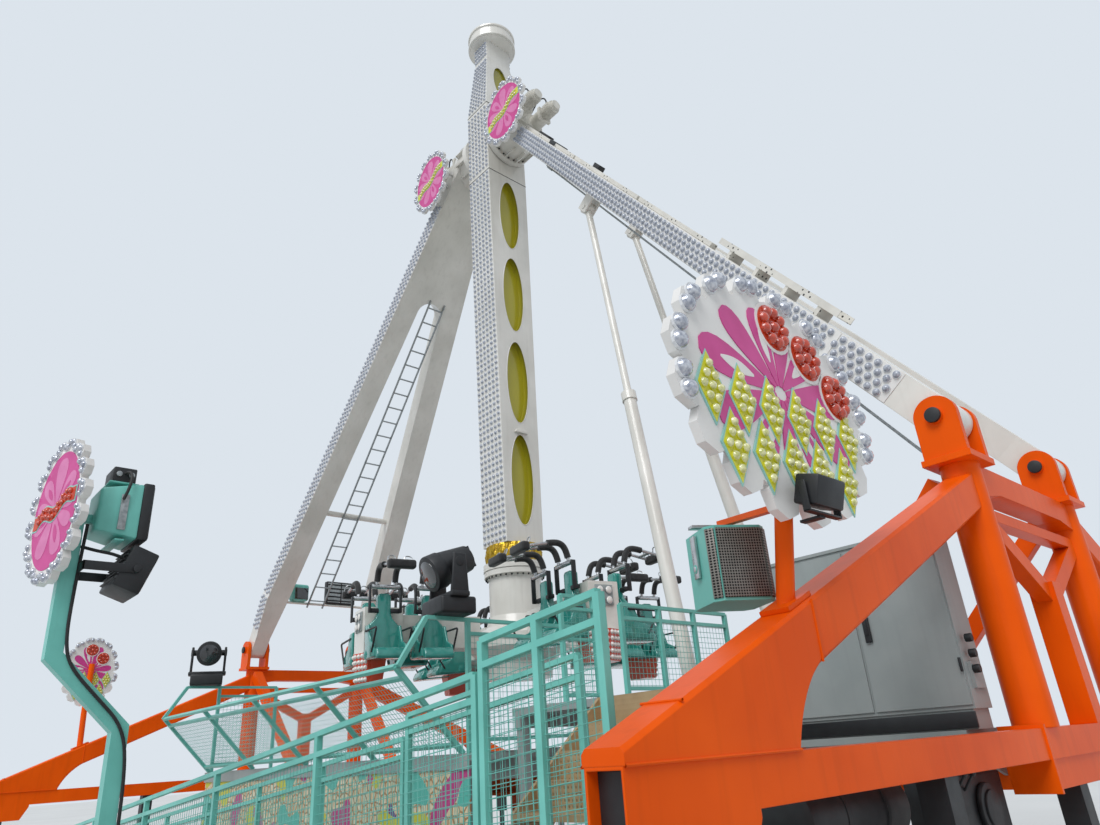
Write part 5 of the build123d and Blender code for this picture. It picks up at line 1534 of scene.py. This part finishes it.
@dataclass
class Platform:
    """Platform, ramp, stair, skirt and cabinet finishes with their small fittings."""

    latch_z: float = 2.300
    hinge_z: tuple[float, float] = (1.95, 2.75)
    plug_y: float = -1.620
    plug_z: tuple[float, ...] = (1.92, 2.02, 2.12)
    plate_size: tuple[float, float, float] = (1.212, 1.266, 0.004)
    plate_at: tuple[float, float] = (-2.274, -2.540)
    plate_step: tuple[float, float] = (1.218, 1.272)
    plate_count: int = 5
    screw_out: tuple[float, float] = (0.57, 0.60)

    def cabinet_fittings(self) -> None:
        """Latch, hinges, connectors and foot strip of the cabinet."""
        low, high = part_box("cabinet")
        y = low.y - 0.006
        mid = (low.x + high.x) / 2
        parts = [Bench.block((0.018, 0.022, 0.16), (mid + 0.07, y, self.latch_z), edge=0.004),
                 Bench.block((0.05, 0.012, 0.26), (mid + 0.07, y + 0.002, self.latch_z), edge=0.003)]
        for x in (low.x + 0.035, high.x - 0.035):
            for z in self.hinge_z:
                parts.append(Bench.drum(0.010, (x, y, z - 0.045), (x, y, z + 0.045), sides=10, edge=0.002))
        for z in self.plug_z:
            parts.append(Bench.drum(0.028, (high.x, self.plug_y, z), (high.x + 0.045, self.plug_y, z), sides=14,
                                    edge=0.004))
        parts.append(Bench.block((high.x - low.x - 0.06, 0.02, 0.10), (mid, low.y + 0.018, 1.61), edge=0.004))
        deliver(Bench.join(parts), "cabinet_fittings", Body.FRAME, BLACK)

    def deck_plates(self) -> None:
        """Tread plates over the deck, with open joints and screws at their corners."""
        (x, y), (dx, dy), n = self.plate_at, self.screw_out, self.plate_count
        plate = Bench.block(self.plate_size, (x, y, DECK_TOP + 0.002), edge=0.001, segments=1)
        screws = [Bench.drum(0.009, (x + sx * dx, y + sy * dy, DECK_TOP + 0.003),
                             (x + sx * dx, y + sy * dy, DECK_TOP + 0.006), sides=8)
                  for sx in (-1, 1) for sy in (-1, 1)]
        for ob, name, slot, finish in ((plate, "deck_plates", Slot.GREY, DECK_TREAD),
                                       (Bench.join(screws), "deck_screws", Slot.DARK, ZINC)):
            rows = Bench.row(Bench.row(ob, (self.plate_step[0], 0, 0), n), (0, self.plate_step[1], 0), n)
            deliver(rows, name, Body.FRAME, finish)

    def build(self) -> None:
        """Dress the nodes of the platform and add the cabinet's fittings and the deck's plates."""
        for node, finish in (("cabinet", GREY), ("deck", GREY), ("deck_frames", GREY), ("skirt", SKIRT),
                             ("ramp", ANTI_SLIP), ("stair", TREAD)):
            dress(node, finish)
        self.cabinet_fittings()
        self.deck_plates()


@dataclass
class BoardArt:
    """Artwork of one scalloped lamp board, laid out in the board's own plane."""

    name: str
    at: Matrix
    half_w: float
    half_h: float
    lobes: int
    lobe: float
    bulb: float
    waves: float = 1.5

    def outline(self, share: float, count: int = 60) -> list[tuple[float, float]]:
        """Points of an ellipse at a share of the board's own."""
        turns = (2 * pi * i / count for i in range(count))
        return [(share * self.half_w * cos(a), share * self.half_h * sin(a)) for a in turns]

    def place(self, x: float, y: float, lift: float = 0.0) -> Vector:
        """Point of the board's plane in the frame."""
        return self.at @ Vector((x, y, lift))

    def normal(self) -> Vector:
        """Direction that the board faces."""
        return self.at.to_3x3() @ Z_AXIS

    def sheets(self, plates: Sequence[Object], tag: str, finish: Finish) -> None:
        """Deliver printed plates as one piece of the board."""
        deliver(Bench.join(plates), f"{self.name}_{tag}", Body.FRAME, finish)

    def lamps(self, bulb: Bulb, spots: Iterable[Vector], tag: str) -> None:
        """Deliver lamps at points as one piece of the board."""
        deliver(bulb.at(spots, self.normal()), f"{self.name}_{tag}", Body.FRAME)

    def ground(self, finish: Finish) -> None:
        """Printed sheet over the middle of the board."""
        self.sheets([Bench.plate(self.outline(0.94), 0.003, self.at)], "ground", finish)

    def rim_lamps(self, spread: Sequence[float], low: float = -1.1) -> None:
        """Lamps on the lobes of the rim.

        Args:
            spread: angle of each lamp from its lobe's middle line, in degrees.
            low: sine of the lowest direction that a lamped lobe lies in.
        """
        spots = []
        for i in range(self.lobes):
            a = 2 * pi * (i + 0.5) / self.lobes
            for turn in spread if sin(a) > low else ():
                b = a + radians(turn)
                spots.append(self.place(self.half_w * cos(a) + 0.62 * self.lobe * cos(b),
                                        self.half_h * sin(a) + 0.62 * self.lobe * sin(b)))
        self.lamps(Bulb(CAP_SILVER, radius=self.bulb, sides=12), spots, "rim_lamps")

    def reach(self, angle: float, foot: float, share: float) -> float:
        """Distance from a point on the board's upright middle line to the ellipse at a share of its own.

        Args:
            angle: direction from the point, from the board's X.
            foot: height of the point over the middle.
            share: share of the board's ellipse.

        Returns:
            The distance.
        """
        w, h = self.half_w * share, self.half_h * share
        a = (cos(angle) / w) ** 2 + (sin(angle) / h) ** 2
        b = foot * sin(angle) / h ** 2
        return (-b + sqrt(b * b - a * ((foot / h) ** 2 - 1))) / a

    def petals(self, finish: Finish, count: int, foot: float, share: float, slit: Finish) -> None:
        """Flower of petals that stay clear of each other, every other one with a slit.

        Args:
            finish: finish of the petals.
            count: number of petals round the flower.
            foot: height of its middle over the board's.
            share: how far the petals reach, as a share of the board.
            slit: finish of the slits.
        """
        leaves, slits = [], []
        for i in range(count):
            a = 2 * pi * (i + 0.25) / count
            length = self.reach(a, foot, share)
            width = 0.84 * length * tan(pi / count)
            at = self.at @ Matrix.Translation((0, foot, 0)) @ Matrix.Rotation(a, 4, "Z")
            shares = [0.08, 0.30, 0.50, 0.65, 0.78, 0.88, 0.95, 0.99]
            side = [(length * u, width * u * sqrt(1 - u ** 4)) for u in shares]
            leaves.append(Bench.plate(side + [(x, -y) for x, y in reversed(side)], 0.0045, at))
            if i % 2:
                side = [(length * (0.35 + 0.05 * j), 0.22 * width * sin(pi * (j + 0.5) / 9))
                        for j in range(9)]
                slits.append(Bench.plate(side + [(x, -y) for x, y in reversed(side)], 0.0058, at))
        self.sheets(leaves, "petals", finish)
        self.sheets(slits, "slits", slit)

    def diamonds(self, rows: Sequence[tuple[float, Sequence[float]]], half: tuple[float, float],
                 rim: float) -> None:
        """Rows of lime diamonds with a pale edge, each set with nine lamps.

        Args:
            rows: height of each row and the places of its diamonds.
            half: half width and half height of a diamond.
            rim: width of its edge.
        """
        w, h = half
        edges, fields, spots = [], [], []
        for y, xs in rows:
            for x in xs:
                at = self.at @ Matrix.Translation((x, y, 0))
                edges.append(Bench.plate([(w + rim, 0), (0, h + rim), (-w - rim, 0), (0, -h - rim)], 0.0075,
                                         at))
                fields.append(Bench.plate([(w, 0), (0, h), (-w, 0), (0, -h)], 0.0100, at))
                spots.append(at @ Vector((0, 0, 0.010)))
                for i in range(8):
                    c, s = cos(pi / 4 * i), sin(pi / 4 * i)
                    ring = 0.64 / (abs(c) + abs(s))
                    spots.append(at @ Vector((ring * w * c, ring * h * s, 0.010)))
        self.sheets(edges, "diamond_edges", RIM_TEAL)
        self.sheets(fields, "diamonds", LIME)
        self.lamps(Bulb(CAP_LIME, radius=0.24 * w, base=LIME), spots, "diamond_lamps")

    def ribbon(self, line: Sequence[tuple[float, float]], wide: float, thick: float) -> Object:
        """Flat strip of even height along a waved line.

        Args:
            line: middle line of the strip.
            wide: half of its height.
            thick: its thickness.

        Returns:
            The strip.
        """
        (x0, y0), (x1, y1) = line[0], line[-1]
        ends = [(x0 - wide, y0), *line, (x1 + wide, y1)]
        points = [(x, y + wide) for x, y in ends] + [(x, y - wide) for x, y in reversed(ends)]
        return Bench.plate(points, thick, self.at)

    def band(self, height: float, cap: Finish, back: Finish, count: int, width: float, slope: float) -> None:
        """Waved strip of coloured lamps with a pale edge, across the board.

        Args:
            height: height of a wave.
            cap: finish of its lamps.
            back: finish of its backing strip.
            count: number of lamps in a row.
            width: share of the board's width that it takes.
            slope: how much it climbs to the right, as a share of its width.
        """
        line = []
        for i in range(4 * count):
            t = i / (4 * count - 1)
            x = self.half_w * width * (2 * t - 1)
            line.append((x, slope * x + height * sin(2 * pi * self.waves * t)))
        self.sheets([self.ribbon(line, 2.6 * self.bulb, 0.007)], "band_edge", RIM_TEAL)
        self.sheets([self.ribbon(line, 2.1 * self.bulb, 0.010)], "band_strip", back)
        spots = [self.place(x, y + s * self.bulb, 0.010) for x, y in line[2::4] for s in (-1.0, 1.0)]
        self.lamps(Bulb(cap, radius=self.bulb * 0.72, base=back), spots, "band_lamps")

    def rosette(self, tag: str, x: float, y: float, radius: float, count: int) -> None:
        """Ring of red lamps round one in the middle, on a disc with a white edge.

        Args:
            tag: the rosette's own name.
            x: its place along the board.
            y: its height over the board's middle.
            radius: radius of the ring.
            count: number of lamps in the ring.
        """
        turns = [2 * pi * i / count for i in range(count)]
        for part, grow, thick, finish in (("edge", 0.9, 0.0085, BOARD), ("disc", 0.45, 0.0110, SCARLET)):
            wide = radius + self.bulb * (0.5 + grow)
            circle = [(x + wide * cos(pi * i / 12), y + wide * sin(pi * i / 12))
                      for i in range(24)]
            self.sheets([Bench.plate(circle, thick, self.at)], f"{tag}_{part}", finish)
        spots = [self.place(x + radius * cos(a), y + radius * sin(a), 0.011) for a in turns]
        spots.append(self.place(x, y, 0.011))
        self.lamps(Bulb(CAP_RED, radius=self.bulb * 0.72, base=CAP_RED), spots, tag)


@dataclass
class Boards:
    """All lamp boards: two big signs, two head badges and the one on the light post."""

    post_turn: float = radians(14.5)
    proud: float = 0.0255
    two: tuple[int, ...] = (-38, 38)
    four: tuple[int, ...] = (-78, -26, 26, 78)

    def signs(self) -> None:
        """Both big signs, whose art faces along +X."""
        art = BoardArt("sign_right", facing((SIGN_X + self.proud, SIGN_Y, SIGN_Z), X_AXIS), 0.760, 0.560, 16,
                       0.130, 0.046)
        art.petals(MAGENTA, 11, 0.02, 0.90, BOARD)
        art.rim_lamps(self.two, -0.45)
        art.diamonds(((-0.11, (-0.625, -0.375, -0.125, 0.125, 0.375, 0.625)),
                      (-0.38, (-0.5, -0.25, 0, 0.25, 0.5))), (0.098, 0.182), 0.016)
        for i, (x, y) in enumerate(((0.04, 0.42), (0.33, 0.32), (0.58, 0.14))):
            art.rosette(f"rosette_{i + 1}", x, y, 0.094, 9)
        art = BoardArt("sign_left", facing((-SIGN_X + self.proud, SIGN_Y, 3.380), X_AXIS), 0.360, 0.490, 16,
                       0.095, 0.032)
        art.petals(MAGENTA, 11, 0.02, 0.90, BOARD)
        art.rim_lamps(self.two, -0.45)
        art.diamonds(((-0.14, (-0.27, -0.09, 0.09, 0.27)), (-0.34, (-0.18, 0, 0.18))), (0.068, 0.130), 0.012)
        for i, (x, y) in enumerate(((-0.02, 0.36), (0.17, 0.22))):
            art.rosette(f"rosette_{i + 1}", x, y, 0.066, 7)

    def badges(self) -> None:
        """Boards at the heads and on the light post."""
        normal = Vector((sin(self.post_turn), -cos(self.post_turn), 0))
        post = facing(Vector((POST_X, -6.430, 3.290)) + normal * self.proud, normal)
        heads = [(BoardArt(f"badge_{name}", facing((s * 1.150, -0.7455, 11.900), -Y_AXIS), 0.480, 0.580, 14, 0.100,
                           0.032), (0.035, CAP_LIME, LIME, 13, 0.74, 0.42)) for s, name in SIDES.items()]
        for art, band in (*heads, (BoardArt("post_badge", post, 0.290, 0.440, 16, 0.075, 0.022),
                                   (0.03, CAP_RED, SCARLET, 9, 0.70, 0.30))):
            art.ground(MAGENTA)
            art.petals(PINK, 9, 0.0, 0.84, MAGENTA)
            art.band(*band)
            art.rim_lamps(self.four)

    def build(self) -> None:
        """Dress the board nodes and add their artwork and lamps."""
        dress("sign_boards", BOARD)
        dress("sign_posts", ORANGE)
        self.signs()
        self.badges()


@dataclass
class StageLights:
    """Moving heads on the side fences, both lights of the post and those on the low bar."""

    head_r: float = 0.165
    head_len: float = 0.430
    pivot: float = 0.450
    fence_y: float = -3.360
    low_bar_x: float = -6.218
    low_bar_z: float = 4.6853

    def cone(self, low: float, high: float, z0: float, z1: float, sides: int = 32, edge: float = 0.008,
             turn: float = 0.0) -> Object:
        """Tapered round or square body about Z.

        Args:
            low: radius at the low end.
            high: radius at the high end.
            z0: height of the low end.
            z1: height of the high end.
            sides: faces round it.
            edge: width of the edge rounding.
            turn: turn about Z in radians.

        Returns:
            The body.
        """
        Bench.clear()
        bpy.ops.mesh.primitive_cone_add(vertices=sides, radius1=low, radius2=high, depth=z1 - z0,
                                        location=(0, 0, (z0 + z1) / 2), rotation=(0, 0, turn))
        return Bench.rounded(Bench.settle(bpy.context.object), edge, 2)

    def moving_head(self, x: float, aim: float, tilt: float) -> Object:
        """Black moving head: base with a display, yoke, and a finned head with its lens.

        Args:
            x: its place along the platform.
            aim: direction that it looks in, about Z from -Y.
            tilt: how far it looks up.

        Returns:
            The light as one object.
        """
        r, half = self.head_r, self.head_len / 2
        stand = [Bench.block((0.42, 0.34, 0.15), (0, 0, 0.075), edge=0.024, segments=3),
                 Bench.block((0.49, 0.18, 0.05), (0, 0, 0.165), edge=0.014)]
        for s in (-1, 1):
            arm = [(-0.09, 0.15), (0.09, 0.15), (0.06, 0.525), (-0.06, 0.525)]
            stand.append(Bench.plate(arm, 0.032, across(s * 0.215 - 0.016), edge=0.012, segments=3))
            stand.append(Bench.drum(0.045, (s * 0.228, 0, self.pivot), (s * 0.236, 0, self.pivot), sides=20,
                                    edge=0.003))
        barrel = [self.cone(r * 0.72, r * 0.96, -half, half - 0.12), self.cone(r, r, half - 0.13, half, edge=0.012),
                  Bench.drum(0.040, (-0.215, 0, 0), (0.215, 0, 0), sides=16)]
        for i in range(-2, 3):
            barrel.append(Bench.block((0.012, 0.20, 0.13), (0.035 * i, 0, -half + 0.050), edge=0.003, segments=1))
        lens = Bench.paint(Bench.drum(r - 0.040, (0, 0, half - 0.020), (0, 0, half + 0.006), sides=32, edge=0.010),
                           GLASS)
        head = Bench.join([Bench.paint(Bench.join(barrel), BLACK), lens])
        head.matrix_world = Matrix.Translation((0, 0, self.pivot)) @ Matrix.Rotation(pi / 2 - tilt, 4, "X")
        whole = Bench.join([Bench.paint(Bench.join(stand), BLACK), Bench.settle(head)])
        whole.matrix_world = Matrix.Translation((x, self.fence_y, RAIL_Z)) @ Matrix.Rotation(aim, 4, "Z")
        return Bench.settle(whole)

    def flood(self) -> Object:
        """Floodlight behind the post's board: teal housing, black rim and driver, glass, steel brackets.

        Returns:
            The light as one object.
        """
        shell = self.cone(0.150 * sqrt(2), 0.200 * sqrt(2), 0, 0.260, 4, 0.020, pi / 4)
        mount = Bench.block((0.060, 0.060, 0.050), (0, -0.050, -0.020), edge=0.004)
        rim = Bench.block((0.410, 0.410, 0.070), (0, 0, 0.290), edge=0.012)
        driver = Bench.block((0.230, 0.110, 0.150), (0, 0.270, 0.140), edge=0.010)
        neck = Bench.block((0.060, 0.060, 0.060), (0, 0.200, 0.140), edge=0.003)
        glass = Bench.block((0.370, 0.370, 0.012), (0, 0, 0.325), edge=0.004)
        straps = [Bench.block((0.008, 0.250, 0.050), (s * 0.190, -0.020, 0.150), edge=0.002) for s in (-1, 1)]
        shelf = [Bench.block((0.270, 0.012, 0.190), (0, 0.205, 0.140), edge=0.003),
                 Bench.block((0.400, 0.012, 0.060), (0, -0.215, 0.150), edge=0.003)]
        plugs = [Bench.drum(0.020, (-0.113, 0.270, z), (-0.130, 0.270, z), sides=14, edge=0.003)
                 for z in (0.10, 0.18)]
        whole = Bench.join([Bench.paint(Bench.join([shell, mount, *shelf]), TEAL),
                            Bench.paint(Bench.join([rim, driver]), BLACK), Bench.paint(glass, GLASS),
                            Bench.paint(Bench.join([neck, *straps, *plugs]), ZINC)])
        whole.matrix_world = facing((POST_X, POST_BACK + 0.047, 3.300), Y_AXIS)
        return Bench.settle(whole)

    def bar_light(self) -> Object:
        """Flat light in a deep yoke below the floodlight.

        Returns:
            The light as one object.
        """
        y = POST_BACK + 0.0095
        yoke = [Bench.block((0.380, 0.014, 0.060), (POST_X, y + 0.007, 2.900), edge=0.003)]
        for s in (-1, 1):
            yoke.append(Bench.block((0.012, 0.330, 0.060), (POST_X + s * 0.184, y + 0.165, 2.900), edge=0.003))
            yoke.append(Bench.drum(0.026, (POST_X + s * 0.190, y + 0.330, 2.900),
                                   (POST_X + s * 0.202, y + 0.330, 2.900), sides=16, edge=0.003))
        box = Bench.block((0.356, 0.180, 0.300), (0, 0, 0), edge=0.012)
        fins = [Bench.block((0.330, 0.020, 0.006), (0, -0.098, 0.035 * i), edge=0.001, segments=1)
                for i in range(-3, 4)]
        glass = Bench.paint(Bench.block((0.310, 0.012, 0.250), (0, 0.088, 0), edge=0.004), GLASS)
        lamp = Bench.join([Bench.paint(Bench.join([box, *fins]), BLACK), glass])
        lamp.matrix_world = Matrix.Translation((POST_X, y + 0.330, 2.900)) @ Matrix.Rotation(radians(-20), 4, "X")
        return Bench.join([Bench.settle(lamp), Bench.paint(Bench.join(yoke), BLACK)])

    def low_bar_lights(self) -> list[Object]:
        """Teal wash light and slatted black light on the low bar of the left support.

        Returns:
            The parts of both lights.
        """
        x, z = self.low_bar_x, self.low_bar_z
        wash = Bench.paint(Bench.block((0.240, 0.330, 0.330), (x + 0.030, -0.595, z + 0.165), edge=0.050, segments=3),
                           TEAL)
        glass = Bench.paint(Bench.block((0.012, 0.280, 0.230), (x + 0.147, -0.595, z + 0.140), edge=0.004), GLASS)
        frame_box = Bench.paint(Bench.block((0.120, 0.650, 0.460), (x, 0.315, z + 0.230), edge=0.016), BLACK)
        panel = Bench.paint(Bench.block((0.010, 0.590, 0.400), (x + 0.057, 0.315, z + 0.230), edge=0.002), ZINC)
        slats = [Bench.block((0.020, 0.600, 0.026), (x + 0.062, 0.315, z + 0.065 + 0.082 * i), (0, 0.5, 0), edge=0.002)
                 for i in range(5)]
        slats.append(Bench.block((0.016, 0.024, 0.400), (x + 0.060, 0.315, z + 0.230), edge=0.002))
        return [wash, glass, frame_box, panel, Bench.paint(Bench.join(slats), BLACK)]

    def sign_light(self) -> None:
        """Small black floodlight on the post of the right sign, under the board's edge."""
        x, y, z = SIGN_X + 0.125, SIGN_Y - 0.020, SIGN_Z - 0.555
        parts = [Bench.block((0.125, 0.250, 0.145), (x + 0.010, y, z), (0, 0.30, 0), edge=0.012),
                 Bench.block((0.110, 0.050, 0.014), (x - 0.055, y, z - 0.118), edge=0.003),
                 Bench.block((0.036, 0.290, 0.010), (x + 0.005, y, z - 0.108), edge=0.002)]
        for s in (-1, 1):
            parts.append(Bench.block((0.036, 0.010, 0.150), (x + 0.005, y + s * 0.140, z - 0.036), edge=0.002))
        deliver(Bench.join(parts), "sign_floodlight", Body.FRAME, BLACK)

    def cables(self) -> None:
        """Black cables clipped along the light post and up to its lights."""
        x = POST_X + 0.060
        line = [(x, -6.26, 3.20), (x, -6.27, 2.70), (x, -6.26, 2.40), (x, -6.20, 2.26), (x, -6.02, 2.08),
                (x, -5.86, 1.92), (x, -5.80, 1.70), (x, -5.79, 1.20), (x, -5.79, 0.30)]
        tail = [(x - 0.02, -6.27, 3.05), (x + 0.03, -6.20, 3.02), (x + 0.06, -6.06, 3.00), (x + 0.05, -5.96, 2.96)]
        loop = [(x + 0.02, -6.10, 3.57), (x + 0.10, -6.08, 3.60), (x + 0.17, -6.06, 3.50), (x + 0.155, -6.10, 3.36)]
        parts = [Bench.tube(points, 0.011) for points in (line, tail, loop)]
        deliver(Bench.join(parts), "post_cables", Body.FRAME, RUBBER)

    def build(self) -> None:
        """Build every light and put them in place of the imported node."""
        lights = [self.moving_head(FENCE_RIGHT, radians(-8), radians(-25)),
                  self.moving_head(FENCE_LEFT, radians(71), radians(-10)),
                  self.flood(), self.bar_light(), *self.low_bar_lights()]
        whole = Bench.join(lights)
        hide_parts("stage_lights")
        deliver(whole, "show_lights", Body.FRAME)
        self.sign_light()
        self.cables()


@dataclass
class SpeakerDress:
    """Loudspeaker: punched grille on its front and bright yoke strips."""

    centre: Vector = field(default_factory=lambda: Vector((6.560, -3.960, 2.400)))
    turn: float = radians(-30)
    half: float = 0.165

    def build(self) -> None:
        """Dress the node and add the grille."""
        dress("speaker", SPEAKER_PAINT)
        at = Matrix.Translation(self.centre) @ Matrix.Rotation(self.turn, 4, "Z")
        grille = Bench.block((0.012, 0.244, 0.350), (self.half + 0.005, 0, 0), edge=0.004)
        bevels = [Bench.block((0.050, 0.010, 0.350), (self.half - 0.018, s * (self.half - 0.018), 0),
                              (0, 0, s * -0.785), edge=0.003) for s in (-1, 1)]
        strips = [Bench.block((0.054, 0.016, 0.219), (0, s * (self.half + 0.012), 0.060), edge=0.002)
                  for s in (-1, 1)]
        strips.append(Bench.block((0.054, 0.370, 0.016), (0, 0, 0.221), edge=0.002))
        strips += [Bench.drum(0.016, (0, s * 0.184, 0), (0, s * 0.192, 0), sides=14, edge=0.003) for s in (-1, 1)]
        for name, parts, finish in (("speaker_grille", [grille, *bevels], GRILLE), ("speaker_yoke", strips, STEEL)):
            ob = Bench.join(parts)
            ob.matrix_world = at
            deliver(Bench.settle(ob), name, Body.FRAME, finish)


@dataclass
class Studio:
    """Camera at the photograph's viewpoint, pale floor and soft light."""

    eye: Vector = field(default_factory=lambda: Vector((8.90, -7.33, 1.59)))
    yaw: float = 0.8216
    pitch: float = 0.4152
    roll: float = -0.0682
    focal_px: float = 767.7
    photo_width: float = 1100.0
    sensor: float = 36.0

    def camera(self) -> None:
        """Camera turned by yaw, pitch and roll."""
        data = bpy.data.cameras.new("camera")
        ob = bpy.data.objects.new("camera", data)
        bpy.context.scene.collection.objects.link(ob)
        ahead = Vector((-sin(self.yaw) * cos(self.pitch), cos(self.yaw) * cos(self.pitch),
                        sin(self.pitch)))
        right = Vector((cos(self.yaw), sin(self.yaw), 0))
        up = right.cross(ahead)
        c, s = cos(self.roll), sin(self.roll)
        matrix = Matrix((c * right + s * up, -s * right + c * up, -ahead)).transposed().to_4x4()
        matrix.translation = self.eye
        ob.matrix_world = matrix
        data.sensor_width = self.sensor
        data.lens = self.focal_px / self.photo_width * self.sensor
        bpy.context.scene.camera = ob

    def background(self, tree: Tree) -> Socket:
        """1 where a ray comes from the camera, a mirror or through glass.

        Args:
            tree: the world's node tree.

        Returns:
            The mask's socket.
        """
        path = add_node(tree, "ShaderNodeLightPath")
        two = add_node(tree, "ShaderNodeMath", {0: path.outputs["Is Camera Ray"], 1: path.outputs["Is Glossy Ray"]},
                       operation="MAXIMUM")
        return add_node(tree, "ShaderNodeMath", {0: two.outputs[0], 1: path.outputs["Is Transmission Ray"]},
                        operation="MAXIMUM").outputs[0]

    def world(self) -> None:
        """Even pale sky: soft light on the object, near white behind it."""
        world = bpy.data.worlds.new("soft_sky")
        bpy.context.scene.world = world
        world.use_nodes = True
        tree = world.node_tree
        tree.nodes.clear()
        light = add_node(tree, "ShaderNodeBackground", {"Color": linear("#F1F4F8"), "Strength": 0.55})
        seen = add_node(tree, "ShaderNodeBackground", {"Color": linear("#DCE4EC"), "Strength": 1.0})
        mix = add_node(tree, "ShaderNodeMixShader", {0: self.background(tree), 1: light.outputs[0],
                                                     2: seen.outputs[0]})
        add_node(tree, "ShaderNodeOutputWorld", {"Surface": mix.outputs[0]})

    def sun(self) -> None:
        """Wide soft key light from the front right."""
        data = bpy.data.lights.new("key", "SUN")
        data.energy, data.angle = 1.9, radians(35)
        ob = bpy.data.objects.new("key", data)
        bpy.context.scene.collection.objects.link(ob)
        ob.matrix_world = Vector((0.35, -0.85, 1.0)).to_track_quat("Z", "Y").to_matrix().to_4x4()

    def floor(self) -> None:
        """Large pale floor."""
        Bench.clear()
        bpy.ops.mesh.primitive_plane_add(size=160, location=(0, 0, -0.002))
        ob = Bench.settle(bpy.context.object)
        ob.name = "floor"
        Bench.paint(ob, Finish("pale_floor", "#D9DCDD", "#D4D7D8", 0.8, patch=3000, grain=20, relief=0.1))

    def build(self) -> None:
        """Set up the view."""
        bpy.context.scene.view_settings.view_transform = "Standard"
        self.camera()
        self.world()
        self.sun()
        self.floor()


def main() -> None:
    """Build every sub-assembly in order."""
    logging.basicConfig(level=logging.INFO, format="%(name)s: %(message)s")
    Studio().build()
    for part in (Arm(), Supports(), Heads(), Bases(), Gondola(), Fences(), Platform(), Boards(), StageLights(),
                 SpeakerDress()):
        LOG.info("%s", type(part).__name__)
        part.build()
    Bench.clear()


if __name__ == "__main__":
    main()
